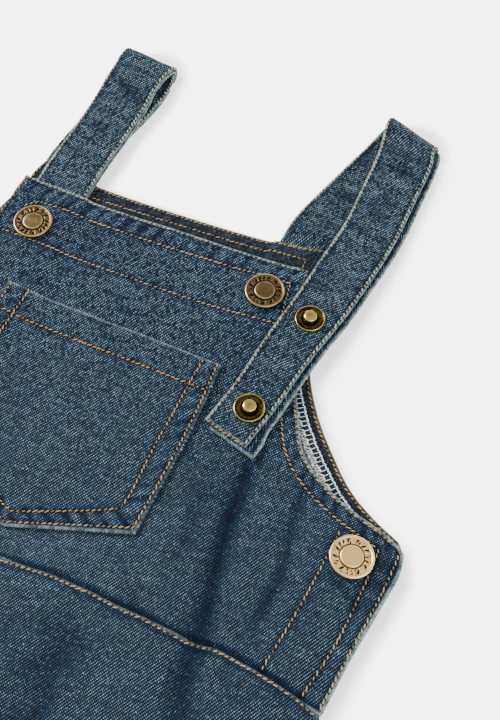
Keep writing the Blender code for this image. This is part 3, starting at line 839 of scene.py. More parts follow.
def pocket_outline():
    """The pocket's outline from its left top down round the point to its right top."""
    v = np.linspace(1.0, 0.0, 40)
    left = np.column_stack(pocket_frame(np.full(40, -1.0), v))
    across = np.linspace(-1.0, 1.0, 61)[1:-1]
    low = np.column_stack(pocket_frame(across, np.zeros(59)))
    right = np.column_stack(pocket_frame(np.ones(40), v[::-1]))
    return np.vstack([left, low, right])


def pocket_rows():
    """The pocket's outer row, even with its edge, and its inner row."""
    sides = []
    for sign in (-1.0, 1.0):
        side = curve(POCKET_SIDE, 40)
        x = sign * (side[:, 1] - POCKET_ROW_OUT)
        y = side[:, 0] - POCKET_TILT * x
        keep = side[:, 0] > POCKET_SIDE[0][0] + POCKET_ROW_OUT
        sides.append(np.column_stack([POCKET_X + x[keep], y[keep]]))
    point = (POCKET_X, POCKET_SIDE[0][0] - POCKET_POINT_DROP + POCKET_ROW_OUT)
    outer = np.vstack([sides[0][::-1], point, sides[1]])
    return resample(outer, 1.0), resample(np.array(POCKET_ROW_IN), 1.0)


def pocket_relief(x, y):
    """The pocket's hems and sewn rows: height, and painted light and shade."""
    outer, inner = POCKET_LINES
    to_outer, along = to_path(outer[::2], x, y)
    to_inner = to_path(inner[::2], x, y)[0]
    height = -ROW_DENT * channel(to_outer) - ROW_DENT * channel(to_inner)
    # painted shadow beside both rows
    shade = -0.26 * channel(to_outer, 1.4) - 0.26 * channel(to_inner, 1.4)
    edge = to_path(POCKET_EDGE[::2], x, y)[0]
    hem = past(edge, 1.4, 1.5) * within(edge, POCKET_HEM_WIDTH - 0.3, 1.8)
    pull = ripple(along + 0.8 * edge, 3.6, 51)
    low = within(y, 238.0, 20.0)
    height += (0.10 + 0.14 * low) * hem * pull + 0.22 * within(edge, POCKET_HEM_WIDTH + 0.6, 1.0)
    # painted light and shade on the hem's puckers, with wear on the rises
    shade += (0.28 + 0.2 * low) * hem * pull
    below_top = pocket_top(x) - y
    height += 0.28 * within(below_top, POCKET_HEM_IN + 0.8, 1.0)
    height -= ROW_DENT * channel(below_top - POCKET_HEM_IN)
    # painted shadow beside the hem row
    shade -= 0.22 * channel(below_top - POCKET_HEM_IN, 1.4)
    return height, shade


def pocket_top(x):
    """Height on the pattern of the pocket's top edge."""
    return POCKET_SIDE[-1][0] - POCKET_TILT * (x - POCKET_X)


def pocket_face(x, y):
    """Upper face of the pocket, which lies on the front."""
    return front_top(x, y) + GAP + CLOTH + pocket_relief(x, y)[0]


def make_pocket(denim):
    """The patch pocket, laid on the front."""
    rows, columns = POCKET_GRID
    u = graded(columns, 0.45)[None, :] * (1.0 - CLOTH / 2 / POCKET_SIDE[0][1])
    v = share(rows, 0.45)[:, None] * (1.0 - CLOTH / POCKET_RUN) + CLOTH / 2 / POCKET_RUN
    x, y = pocket_frame(u + 0.0 * v, v + 0.0 * u)
    relief, shade = pocket_relief(x, y)
    top = np.stack([x, y, front_top(x, y) + GAP + CLOTH + relief], axis=-1)
    worn = 0.12 + 0.28 * ease((y - pocket_top(x) + 2.0) / 1.5) + 0.3 * within(y, 225.0, 15.0)
    return shell("denim_pocket", top, CLOTH, POCKET_WEAVE * np.stack([x, y + 30.0], axis=-1),
                 shade, worn, denim)


def make_hem(side, denim):
    """The back armhole's turned hem: a strip along the back's edge on its inner face."""
    edge = curve(BACK_ARMHOLE, 170)[:, ::-1]
    reach = np.linspace(HEM_IN + HEM_WALL / 2, HEM_IN + HEM_WIDTH - HEM_WALL / 2, 14)
    inward = inside_of(edge, 1.0) - edge
    keep = slice(4, int(np.searchsorted(edge[:, 1], HEM_TOP)))
    points = edge[keep, None] + inward[keep, None] * reach[None, :, None]
    x = side * points[..., 0] + back_shift(points[..., 1])
    y = points[..., 1]
    along = np.linspace(0.0, 150.0, len(points))[:, None] + 0.0 * x
    across = reach[None, :] + 0.0 * x
    z = CLOTH + GAP + HEM_WALL + 0.12 * swell(along, across, 9.0, 61)
    top = np.stack([x, y, z], axis=-1)
    uv = np.stack([across, along], axis=-1)
    if side > 0:
        top, uv, along = top[:, ::-1], uv[:, ::-1], along[:, ::-1]
    name = "denim_armhole_hem_right" if side > 0 else "denim_armhole_hem_left"
    worn = 0.75 * past(uv[..., 0], 8.0, 1.5)
    return shell(name, top, HEM_WALL, uv, 0.1 * ripple(along, 5.0, 62), worn, denim)


def strap_line(back, fold, front, count):
    """Rows along a strap's middle line: back leg, round fold and front leg."""
    back = [(x, y, STRAP_MIDDLE, turn, STRAP_WIDTH, 0.0) for x, y, turn in back]
    fold_x, fold_y, turn = fold
    angle = np.radians((30.0, 60.0, 90.0, 120.0, 150.0))
    reach = STRAP_FOLD_RADIUS * np.sin(angle)
    rise = STRAP_FOLD_RADIUS * (1 - np.cos(angle))
    arc = np.column_stack([
        fold_x - math.sin(math.radians(turn)) * reach,
        fold_y + math.cos(math.radians(turn)) * reach,
        STRAP_MIDDLE + rise, np.full(len(angle), turn), np.full(len(angle), FOLD_SPREAD),
        np.linspace(0.0, front[0][5], len(angle))])
    return curve(np.vstack([back, arc, front]), count)


def strap_frame(line):
    """Width and face directions, and the distance run, at each step of a strap's middle line."""
    turn = np.radians(line[:, 3])
    width = np.column_stack([np.cos(turn), np.sin(turn), np.zeros(len(line))])
    face = unit(np.cross(np.gradient(line[:, :3], axis=0), width))
    return width, face, run_along(line[:, :3])


PLY_POINTS = 22                     # round each half of a ply's ring
PLY_SQUARE = 14                     # power of the ring's superellipse
STRAP_CLOTH = (60.0, 900.0)         # where on the weave a strap's cloth begins


def make_ply(name, line, sign, shift, worn, seed, denim):
    """One ply of a strap: a flat round-cornered ring carried along the strap's middle line.

    The ring is a superellipse, so its edges are round and its faces flat, thinned
    where a row is sewn near each edge. At both ends it closes over half a wall.
    """
    width, face, along = strap_frame(line)
    half_ring = graded(PLY_POINTS, 0.9)
    ring = np.concatenate([half_ring, half_ring[-2:0:-1]])
    outer = np.concatenate([np.ones(PLY_POINTS), -np.ones(PLY_POINTS - 2)])
    half = line[:, 4:5] / 2
    from_edge = half * (1 - np.abs(ring))
    body = (1 - np.abs(ring) ** PLY_SQUARE) ** 0.5
    thick = PLY / 2 * body * (1 - STRAP_ROW_THINS * channel(from_edge - STRAP_ROW_IN, 0.7))
    end = np.minimum(along, along[-1] - along)[:, None]
    close = np.sqrt(np.clip(1 - (1 - np.minimum(end / (PLY / 2), 1.0)) ** 2, 0.0, 1.0))
    wave = 0.22 * swell(along[:, None] + 0.0 * ring, half * ring, 21.0, seed)
    pull = ripple(along, 3.2, seed + 1)[:, None] * within(from_edge, 4.5, 3.0)
    lift = outer * thick * close + wave + 0.10 * pull
    flare = END_FLARE * within(along[-1] - along, END_FLARE_FROM, 8.0)[:, None]
    across = half * ring + (line[:, 5:6] + flare * past(ring, 0.6, 0.3)) * shift
    tuck = within(along, 8.0, 8.0)[:, None]
    middle = line[:, :3] + face * sign * (GAP + PLY) / 2 - (0.0, 1.0, 0.0) * tuck * ROOT_TUCK
    points = middle[:, None] + width[:, None] * across[..., None] + face[:, None] * lift[..., None]
    k = numbered(*across.shape)
    quads = grid_quads(np.column_stack([k, k[:, :1]]))
    # uneven tone, and painted light where pull lifts the ply's edges and painted shade where it
    # sinks
    shade = 0.10 * swell(across, along[:, None] + 0.0 * across, 24.0, seed + 2) + 0.10 * pull
    # painted shadow beside each row
    shade -= 0.30 * channel(from_edge - STRAP_ROW_IN - 0.9, 1.1)
    from_fold = along - along[int(np.argmax(line[:, 1]))]
    for distance, dark in STRAP_CREASE_SHADES:
        crossing = from_fold[:, None] - distance - 0.3 * across
        # painted shade of a soft fold across the strap
        shade -= dark * channel(crossing, 3.2) * (0.6 + 0.4 * np.sin(0.25 * across + distance))
    # bands of painted light and shade across the strap, like soft ribs
    shade += 0.14 * ripple(along + 40.0, 4.6, seed + 3)[:, None] * past(from_edge, 2.0, 2.0)
    uv = np.stack([STRAP_CLOTH[0] + across,
                   STRAP_CLOTH[1] - sign * along[:, None] + 0.0 * across], axis=-1)
    uv *= STRAP_WEAVE["left" if "left" in name else "right"]
    from_end = np.minimum(from_edge, (along[-1] - along)[:, None])
    values = {"edge": from_end, "shade": shade, "worn": worn + 0.0 * across}
    obj = add_mesh(name, points.reshape(-1, 3), quads, denim, uv=uv.reshape(-1, 2),
                   values=values)
    close_ends(obj)
    return obj


def close_ends(obj):
    """Merge the points that meet where a piece closes, and point its faces outwards."""
    work = bmesh.new()
    work.from_mesh(obj.data)
    bmesh.ops.remove_doubles(work, verts=work.verts, dist=1e-6)
    bmesh.ops.recalc_face_normals(work, faces=work.faces)
    work.to_mesh(obj.data)
    work.free()
    obj.data.shade_smooth()


def on_surface(path, height, lift=0.0):
    """Points along a row of (x, y) on a surface z = height(x, y), and its unit normals there."""
    x, y = path[:, 0], path[:, 1]
    step = 0.6
    z = height(x, y)
    slope_x = (height(x + step, y) - height(x - step, y)) / (2 * step)
    slope_y = (height(x, y + step) - height(x, y - step)) / (2 * step)
    up = unit(np.column_stack([-slope_x, -slope_y, np.ones(len(x))]))
    return np.column_stack([x, y, z]) + up * lift, up


def on_strap(line, sign, across):
    """Points along a strap ply's outer face at a distance from the middle, and its normals."""
    width, face, _ = strap_frame(line)
    offset = np.asarray(across).reshape(-1, 1)
    height = (GAP + PLY) / 2 + PLY / 2 * STRAP_ROW_LIFT
    return line[:, :3] + face * sign * height + width * offset, face * sign


STITCH_RINGS = 5
STITCH_SIDES = 6
STRAND_LENGTH = (1.35, 1.55)        # least and greatest, as shares of the pitch
STITCH_SLANT = 1.0                  # how far a strand leans across its row


def stitch_row(points, up, pitch, radius, slant, seed):
    """The strands of one row as arrays: stitches by rings by sides, and a tone for each point.

    Each strand runs half as far again as the pitch, so that they overlap like the plies
    of a twisted thread. It leaves the cloth on a sine arc, is thickest at its middle,
    darkest at its ends, where a shade is painted as it dips into the cloth, and leans by
    slant across the row.
    """
    random = np.random.default_rng(seed)
    run = run_along(points)
    count = max(1, int(round(run[-1] / pitch)))
    at = (np.arange(count) + 0.5) * run[-1] / count
    at = at + random.normal(0.0, 0.05, count) * pitch
    centre = read_off(points, run, at)
    normal = unit(read_off(up, run, at))
    ahead = read_off(points, run, at + 0.6) - read_off(points, run, at - 0.6)
    tangent = unit(ahead - normal * (ahead * normal).sum(axis=1, keepdims=True))
    side = np.cross(normal, tangent)
    length = pitch * random.uniform(*STRAND_LENGTH, count)
    lean = slant * random.uniform(0.6, 1.4, count)
    t = np.linspace(0.0, 1.0, STITCH_RINGS + 2)[1:-1]
    angle = np.linspace(0.0, 2 * math.pi, STITCH_SIDES, endpoint=False)
    arc = np.sin(math.pi * t)
    thick = radius * arc ** 0.35
    rise = radius * (0.95 * arc - 0.15)
    middle = (centre[:, None] + tangent[:, None] * ((t - 0.5) * length[:, None])[..., None]
              + side[:, None] * ((t - 0.5) * lean[:, None])[..., None]
              + normal[:, None] * rise[None, :, None])
    rings = (middle[:, :, None]
             + side[:, None, None] * (thick[:, None] * np.cos(angle))[None, :, :, None]
             + normal[:, None, None] * (0.85 * thick[:, None] * np.sin(angle))[None, :, :, None])
    ends = np.stack([centre + tangent * (end * length[:, None]) + side * (end * lean[:, None])
                     - normal * radius * 0.6 for end in (-0.5, 0.5)], axis=1)
    own = random.uniform(0.0, 0.7, count)
    # painted shade at each strand's ends, where it dips into the cloth
    painted_end_shade = 1.0 - np.append(np.repeat(arc, STITCH_SIDES), (0.0, 0.0))
    tone = own[:, None] + 1.6 * painted_end_shade ** 1.1
    return rings, ends, tone


def make_stitches(name, rows, thread):
    """The strands of several rows as one piece. A row is points, normals, pitch, radius, fade."""
    size = STITCH_RINGS * STITCH_SIDES + 2
    quads, triangles = tube_faces(STITCH_RINGS, STITCH_SIDES)
    parts, tones, fades = [], [], []
    for number, (points, up, pitch, radius, fade) in enumerate(rows):
        rings, ends, tone = stitch_row(points, up, pitch, radius, STITCH_SLANT, 1000 + 17 * number)
        count = len(tone)
        block = np.concatenate([rings.reshape(count, -1, 3), ends], axis=1)
        offset = size * np.arange(count)[:, None, None]
        parts.append((block.reshape(-1, 3), (quads + offset).reshape(-1, 4),
                      (triangles + offset).reshape(-1, 3)))
        tones.append(tone.ravel())
        fades.append(np.full(count * size, fade))
    all_points, all_quads, all_triangles = joined(parts)
    obj = add_mesh(name, all_points, all_quads, thread, all_triangles,
                   values={"tone": np.concatenate(tones), "fade": np.concatenate(fades)})
    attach(obj, "root")


def make_thread(path, radius, sides=6):
    """A long thin thread along a path: a ring of points carried along it, with closed ends."""
    tangent = unit(np.gradient(path, axis=0))
    side = unit(np.cross((0.0, 0.0, 1.0), tangent))
    over = np.cross(tangent, side)
    angle = np.linspace(0.0, 2 * math.pi, sides, endpoint=False)
    ring = (path[:, None] + radius * (side[:, None] * np.cos(angle)[None, :, None]
                                      + over[:, None] * np.sin(angle)[None, :, None]))
    return np.vstack([ring.reshape(-1, 3), path[:1], path[-1:]]), *tube_faces(len(path), sides)


# The overlock: how far in from the edge its threads lie, and how far they swing to each side
RUNGS_IN, RUNGS_SWING = 6.0, 1.25
SCALLOPS_IN, SCALLOPS_SWING = 4.95, 0.55
CROSSED_IN, CROSSED_SWING = 8.2, 1.1
RUNGS_RADIUS, SCALLOPS_RADIUS, CROSSED_RADIUS = 0.16, 0.21, 0.14
OVERLOCK_STEPS = 16                 # points in each of its cells


def make_overlock(side, thread):
    """White overlock on the hem: a ladder of rungs, scallops outside it and crossed threads inside.

    The rungs are one line that swings across the hem and only moves on between swings.
    The scallops bow outwards, one at each rung, and the crossed threads are sines.
    """
    edge = curve(BACK_ARMHOLE, 400)[:, ::-1]
    inward = inside_of(edge, 1.0) - edge
    run = run_along(edge)
    first, last = 5.0, float(np.interp(HEM_TOP, edge[:, 1], run)) - 1.0
    top = CLOTH + GAP + HEM_WALL
    count = int((last - first) / OVERLOCK_PITCH)

    def laid(along, reach, height):
        """Points on the hem: so far along its edge, so far in from it, so high above the floor."""
        place = read_off(edge, run, along)
        direction = unit(read_off(inward, run, along))
        flat = place + direction * reach[:, None]
        return np.column_stack([side * flat[:, 0] + back_shift(flat[:, 1]), flat[:, 1],
                                height + 0.0 * along])

    random = np.random.default_rng(91)
    t = np.arange(count * OVERLOCK_STEPS) / OVERLOCK_STEPS
    cell = np.arange(count + 1)
    uneven = np.interp(t, cell, random.uniform(-0.12, 0.12, count + 1))
    moved = first + OVERLOCK_PITCH * (t + uneven)
    reach = np.interp(t, cell, random.uniform(-0.25, 0.25, count + 1))
    turn = 2 * math.pi * t
    step = 0.5 * OVERLOCK_PITCH * np.sin(turn) / math.pi
    rungs = laid(moved + step, RUNGS_IN + reach - RUNGS_SWING * np.tanh(3.5 * np.cos(turn / 2)),
                 top + 0.30)
    scallops = laid(moved, SCALLOPS_IN + reach - SCALLOPS_SWING * np.abs(np.sin(turn / 2)),
                    top + 0.34 + 0.12 * np.cos(turn))
    crossed = [laid(moved + offset, CROSSED_IN + reach + CROSSED_SWING * np.sin(turn * rate + phase),
                    top + 0.3 + 0.15 * np.cos(turn * rate + phase))
               for rate, phase, offset in ((0.5, 0.4, 0.0), (0.5, 2.6, 0.5), (1.0, 1.1, 0.2))]
    points, quads, triangles = joined(
        [make_thread(rungs, RUNGS_RADIUS), make_thread(scallops, SCALLOPS_RADIUS)]
        + [make_thread(line, CROSSED_RADIUS) for line in crossed])
    name = "overlock_right" if side > 0 else "overlock_left"
    obj = add_mesh(name, points, quads, thread, triangles)
    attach(obj, "root")
    return obj


# Turned profiles from the foot of the rim to the middle of the top: radius, height, patina
CAP_PROFILE = (
    (7.0, 0.0, 1.0), (7.9, 0.25, 1.0), (8.3, 0.6, 1.0), (CAP_RADIUS, 1.15, 0.85), (8.42, 1.6, 0.4),
    (8.15, 1.95, 0.0), (7.85, 2.06, 0.0), (7.6, 1.98, 0.3), (7.42, 1.84, 0.6), (7.1, 1.8, 0.4),
    (6.4, 1.84, 0.42), (5.8, 1.86, 0.42), (5.2, 1.86, 0.42), (4.95, 1.76, 0.8), (4.75, 1.60, 1.0),
    (4.55, 1.68, 1.0), (4.38, 1.96, 0.3), (4.15, 2.14, 0.05), (3.7, 2.18, 0.3), (3.0, 2.2, 0.4),
    (2.0, 2.22, 0.4), (1.0, 2.23, 0.4), (0.0, 2.24, 0.4),
)
STUD_PROFILE = (
    (5.4, 0.0, 1.0), (5.9, 0.15, 1.0), (STUD_RADIUS, 0.5, 0.8), (6.2, 0.85, 0.4), (6.05, 1.1, 0.0),
    (5.88, 1.14, 0.1), (5.65, 1.0, 0.6), (5.35, 0.75, 0.9), (4.8, 0.62, 0.8), (4.3, 0.6, 0.7),
    (3.9, 0.58, 0.8), (3.5, 0.55, 1.0), (3.0, 0.55, 1.0), (2.6, 0.6, 1.0), (2.25, 0.85, 0.95),
    (2.15, 1.3, 0.8), (2.3, 1.8, 0.6), (2.64, 2.2, 0.35), (2.78, 2.5, 0.2), (2.66, 2.8, 0.05),
    (2.25, 3.05, 0.0), (1.5, 3.22, 0.15), (0.7, 3.29, 0.25), (0.0, 3.3, 0.25),
)
SNAP_PROFILE = (
    (4.4, 0.0, 1.0), (4.8, 0.2, 0.6), (SNAP_RADIUS, 0.5, 0.2), (4.85, 0.8, 0.0), (4.4, 1.0, 0.1),
    (3.6, 1.2, 0.15), (2.5, 1.4, 0.15), (1.2, 1.48, 0.15), (0.0, 1.5, 0.15),
)
# Engraved dashes round a cap and a stud: how many, middle radius, half width, depth
CAP_DASHES = (16, 6.15, 1.1, 0.2)
STUD_DASHES = (18, 4.4, 0.3, 0.10)
TURNING_STEPS = 156


def make_turned(name, profile, centre, up, dashes, slot, node):
    """A round brass piece: its profile turned about an axis, with a ring of engraved dashes."""
    line = curve(np.array(profile), 46)
    line[-1, 0] = 0.0
    angle = np.linspace(0.0, 2 * math.pi, TURNING_STEPS, endpoint=False)[:, None]
    radius = line[None, :, 0] + 0.0 * angle
    height = line[None, :, 1] + 0.0 * angle
    patina = line[None, :, 2] + 0.0 * angle
    if dashes:
        count, middle, half_width, depth = dashes
        uneven = angle * count + 1.3 * np.sin(3 * angle) + 0.9 * np.sin(5 * angle + 1.0)
        bar = ease((np.sin(uneven) + 0.55) / 0.5)
        bar = bar * ease((np.sin(23 * angle + 2.6 * (radius - middle)) + 0.85) / 0.35)
        reach = half_width * (0.95 + 0.15 * np.sin(7 * angle + 0.5))
        window = ease((reach - np.abs(radius - middle - 0.08 * np.sin(11 * angle))) / 0.25 + 0.5)
        top = line[None, :, 1] > 0.6
        cut = bar * window * top
        height = height - depth * cut
        patina = np.maximum(patina, cut)
    flat = np.stack([radius * np.cos(angle), radius * np.sin(angle), height], axis=-1)
    turn = np.array(Vector(up).to_track_quat("Z", "Y").to_matrix())
    points = flat.reshape(-1, 3) @ turn.T + centre
    k = numbered(TURNING_STEPS, len(line))
    after = np.roll(k, -1, axis=0)
    quads = np.stack([k[:, :-1], after[:, :-1], after[:, 1:], k[:, 1:]], axis=-1).reshape(-1, 4)
    foot = len(points)
    points = np.vstack([points, centre])
    triangles = np.column_stack([np.full(TURNING_STEPS, foot), after[:, 0], k[:, 0]])
    values = {"patina": np.append(patina.ravel(), 1.0)}
    obj = add_mesh(name, points, quads, brass[slot], triangles, values=values)
    close_ends(obj)
    stand_for(obj, node)


def seat(x, y, radius):
    """Where a turned piece stands on the front: its centre and its axis, square to the cloth."""
    slope_x = (front_top(x + radius, y) - front_top(x - radius, y)) / (2 * radius)
    slope_y = (front_top(x, y + radius) - front_top(x, y - radius)) / (2 * radius)
    up = unit(np.array([-float(slope_x), -float(slope_y), 1.0]))
    angle = np.linspace(0.0, 2 * math.pi, 12, endpoint=False)
    ring = front_top(x + radius * np.cos(angle), y + radius * np.sin(angle))
    ring = ring - radius * (slope_x * np.cos(angle) + slope_y * np.sin(angle))
    height = max(float(ring.max()), float(front_top(x, y)))
    return np.array([x, y, height]) + up * 0.1, up


class Wiring:
    """Short words for adding nodes to one node tree."""

    def __init__(self, tree):
        self.tree = tree

    def node(self, kind, **settings):
        """A new node with its settings."""
        made = self.tree.nodes.new(kind)
        for key, value in settings.items():
            setattr(made, key, value)
        return made

    def feed(self, socket, value):
        """Link a socket to an output, or set it to a plain value. A plain colour is opaque."""
        if isinstance(value, bpy.types.NodeSocket):
            self.tree.links.new(value, socket)
        else:
            socket.default_value = (*value, 1.0) if socket.type == "RGBA" else value

    def dress(self, node, values):
        """Feed several of a node's sockets, by name."""
        for key, value in values.items():
            self.feed(node.inputs[key], value)

    def math(self, operation, *values):
        """One Math node; returns its output."""
        made = self.node("ShaderNodeMath", operation=operation)
        for socket, value in zip(made.inputs, values):
            self.feed(socket, value)
        return made.outputs[0]

    def plus(self, first, second):
        """The sum of two."""
        return self.math("ADD", first, second)

    def minus(self, first, second):
        """The first less the second."""
        return self.math("SUBTRACT", first, second)

    def times(self, first, second):
        """The product of two."""
        return self.math("MULTIPLY", first, second)

    def spread(self, value, least, span):
        """A value from 0 to 1 spread from least over span."""
        return self.plus(least, self.times(value, span))

    def mix(self, factor, first, second, blend="MIX"):
        """A colour between two others."""
        made = self.node("ShaderNodeMix", data_type="RGBA", blend_type=blend)
        self.dress(made, {"Factor": factor, "A": first, "B": second})
        return made.outputs["Result"]

    def ramp(self, value, low, high, start=0.0, end=1.0):
        """value taken smoothly from low..high to start..end."""
        made = self.node("ShaderNodeMapRange", interpolation_type="SMOOTHSTEP")
        self.dress(made, {"Value": value, "From Min": low, "From Max": high,
                          "To Min": start, "To Max": end})
        return made.outputs["Result"]

    def noise(self, vector, scale, detail=2.0):
        """Noise from 0 to 1 on a vector."""
        made = self.node("ShaderNodeTexNoise", noise_dimensions="3D")
        self.dress(made, {"Vector": vector, "Scale": scale, "Detail": detail})
        return made.outputs["Fac"]

    def random(self, x, y):
        """A random number from 0 to 1 for each pair of whole numbers."""
        pair = self.node("ShaderNodeCombineXYZ")
        self.dress(pair, {"X": x, "Y": y})
        made = self.node("ShaderNodeTexWhiteNoise", noise_dimensions="3D")
        self.feed(made.inputs["Vector"], pair.outputs[0])
        return made.outputs["Value"]

    def value(self, name):
        """A value kept per point of the piece."""
        made = self.node("ShaderNodeAttribute", attribute_name=name)
        return made.outputs["Fac"]

    def shaded_by(self, colour, light):
        """A colour multiplied by a light."""
        return self.mix(1.0, colour, light, "MULTIPLY")

    def bump(self, height, strength, distance):
        """A normal from a height between 0 and 1; distance is the height of 1 in metres."""
        made = self.node("ShaderNodeBump")
        self.dress(made, {"Strength": strength, "Distance": distance, "Height": height})
        return made.outputs["Normal"]


# Painted shade deep in a fold: what the cloth's colour is multiplied by there
FOLD_SHADE_TINT = (0.66, 0.90, 1.20)

# Twill: two threads over, one under. Sizes in millimetres of cloth.
WARP_PITCH = 0.37
WEFT_PITCH = 0.60
TWILL_REPEAT = 3.0
WARP_STRETCH = 11.0                 # a warp thread keeps its shade over so many wefts
WEFT_STRETCH = 13.0                 # and a weft over so many warps
SLUB_WARPS = 2.4                    # a thick place is so many warps wide
SLUB_WEFTS = 2.0
USUAL_DOT = 0.75                    # how much of a weft dot shows where the cloth is even
PLAIN_DOTS = 0.98                   # this share of the crossings has no pale fleck

# Threads to a millimetre on each piece, as a share of the cloth's own
BIB_WEAVE = 0.86
BIB_WEAVE_FROM = 225.0              # height on the pattern above which the front's thin out
POCKET_WEAVE = 0.92
STRAP_WEAVE = {"left": 0.80, "right": 0.90}
# Places up the cloth map, in millimetres, between which the weave turns from even to bold
BOLD_FROM = 215.0
BOLD_TO = 300.0


def twill_group():
    """The weave, as a group: whole numbers of thread steps pick which thread lies on top.

    A weft dot shows where the warp's number less the weft's is a multiple of three,
    so the dots climb to the right. Each thread is round and has a shade of its own.
    """
    group = bpy.data.node_groups.new("twill_weave", "ShaderNodeTree")
    for name, way, kind in (("Cloth", "INPUT", "Vector"), ("Warp", "INPUT", "Color"),
                            ("Weft", "INPUT", "Color"), ("Weft Show", "INPUT", "Float"),
                            ("Uneven", "INPUT", "Float"), ("Color", "OUTPUT", "Color"),
                            ("Height", "OUTPUT", "Float")):
        group.interface.new_socket(name, in_out=way, socket_type=f"NodeSocket{kind}")
    w = Wiring(group)
    given = w.node("NodeGroupInput").outputs
    result = w.node("NodeGroupOutput")
    cloth = given["Cloth"]
    parts = w.node("ShaderNodeSeparateXYZ")
    w.feed(parts.inputs[0], cloth)
    wander = w.times(w.minus(w.noise(cloth, 0.5, 1.0), 0.5), 0.9)
    warp_at = w.plus(w.math("DIVIDE", parts.outputs[0], WARP_PITCH), wander)
    weft_at = w.plus(w.math("DIVIDE", parts.outputs[1], WEFT_PITCH), wander)
    warp_no, weft_no = w.math("FLOOR", warp_at), w.math("FLOOR", weft_at)
    warp_in = w.math("SINE", w.times(w.math("FRACT", warp_at), math.pi))
    weft_in = w.math("SINE", w.times(w.math("FRACT", weft_at), math.pi))
    crossing = w.times(warp_in, weft_in)
    step = w.math("FLOORED_MODULO", w.minus(warp_no, weft_no), TWILL_REPEAT)
    dot = w.times(w.math("LESS_THAN", step, 0.5), w.ramp(crossing, 0.1, 0.75))
    stretch = w.plus(w.math("DIVIDE", weft_no, WARP_STRETCH), w.times(warp_no, 0.37))
    warp_shade = w.random(warp_no, w.math("FLOOR", stretch))
    stretch = w.math("DIVIDE", warp_no, WEFT_STRETCH)
    weft_shade = w.random(w.math("FLOOR", stretch), weft_no)
    each = w.random(w.plus(warp_no, 57.0), weft_no)
    slub = w.random(w.math("FLOOR", w.math("DIVIDE", warp_at, SLUB_WARPS)),
                    w.math("FLOOR", w.math("DIVIDE", weft_at, SLUB_WEFTS)))
    cluster = w.ramp(w.noise(cloth, 0.8, 3.0), 0.3, 0.7, 0.2, 1.7)
    own = w.times(w.times(w.spread(each, 0.25, 1.15), w.spread(slub, 0.15, 1.8)), cluster)
    own = w.plus(USUAL_DOT, w.times(w.minus(own, USUAL_DOT), given["Uneven"]))
    dot = w.times(dot, w.times(own, given["Weft Show"]))
    fleck = w.times(w.math("GREATER_THAN", each, PLAIN_DOTS), crossing)
    shown = w.math("MINIMUM", w.plus(dot, w.times(fleck, 0.5)), 1.0)
    warp_light = w.plus(w.spread(warp_shade, 0.4, 0.8), w.times(slub, 0.5))
    warp_light = w.times(w.spread(warp_in, 0.35, 0.65), warp_light)
    warp = w.shaded_by(given["Warp"], warp_light)
    weft = w.shaded_by(given["Weft"], w.spread(weft_shade, 0.65, 0.7))
    w.dress(result, {"Color": w.mix(shown, warp, weft),
                     "Height": w.plus(w.times(warp_in, 0.6), dot)})
    return group


def blank_material(name):
    """A new material: its wiring and its shader."""
    material = bpy.data.materials.new(name)
    material.use_nodes = True
    return material, Wiring(material.node_tree), material.node_tree.nodes["Principled BSDF"]


def washed_denim(name, weave, warp, weft, weft_show, worn, wear_width, tone):
    """Washed denim: the weave, cloudy from the wash, worn pale along its edges, and painted lighter
    or darker by its shade values: painted light and shade, dark and bluer in folds.
    """
    material, w, shader = blank_material(name)
    cloth = w.node("ShaderNodeUVMap", uv_map="cloth").outputs[0]
    parts = w.node("ShaderNodeSeparateXYZ")
    w.feed(parts.inputs[0], cloth)
    bold = w.ramp(parts.outputs[1], BOLD_FROM, BOLD_TO)
    shade = w.value("shade")
    # dark: how deep the cloth lies in painted shade; its weave shows less there
    dark = w.math("MINIMUM", w.math("MAXIMUM", w.times(shade, -2.2), 0.0), 1.0)
    show = w.times(w.minus(1.0, w.times(dark, 0.8)), weft_show)
    twill = w.node("ShaderNodeGroup", node_tree=weave)
    w.dress(twill, {"Cloth": cloth, "Warp": warp, "Weft": weft,
                    "Weft Show": w.times(show, w.spread(bold, 0.82, 0.18)),
                    "Uneven": w.spread(bold, 0.5, 0.6)})
    cloud = w.plus(w.times(w.noise(cloth, 0.045, 3.0), 0.36),
                   w.times(w.noise(cloth, 0.28, 3.0), 0.34))
    # painted light and shade: the shade values lighten or darken the colour
    painted_light = w.math("MAXIMUM", w.spread(shade, 1.0, 1.15), 0.3)
    light = w.times(w.times(w.plus(cloud, 0.65), tone), painted_light)
    colour = w.shaded_by(twill.outputs["Color"], light)
    colour = w.shaded_by(colour, w.mix(dark, WHITE, FOLD_SHADE_TINT))
    rough = w.times(w.minus(w.noise(cloth, 1.1, 3.0), 0.5), 1.2)
    wear = w.ramp(w.plus(w.value("edge"), rough), 0.1, wear_width, 1.0, 0.0)
    wear = w.times(wear, w.ramp(w.noise(cloth, 0.4, 3.0), 0.3, 0.65, 0.25, 1.0))
    wear = w.times(wear, w.value("worn"))
    pale = w.shaded_by(worn, w.spread(w.noise(cloth, 1.0, 2.0), 0.1, 1.8))
    fuzz = w.times(w.noise(cloth, 2.6, 3.0), 0.7)
    w.dress(shader, {"Base Color": w.mix(wear, colour, pale),
                     "Normal": w.bump(w.plus(twill.outputs["Height"], fuzz), 0.6, 0.00016),
                     "Roughness": 0.88, "Specular IOR Level": 0.12, "Sheen Weight": 0.03,
                     "Sheen Roughness": 0.5})
    return material


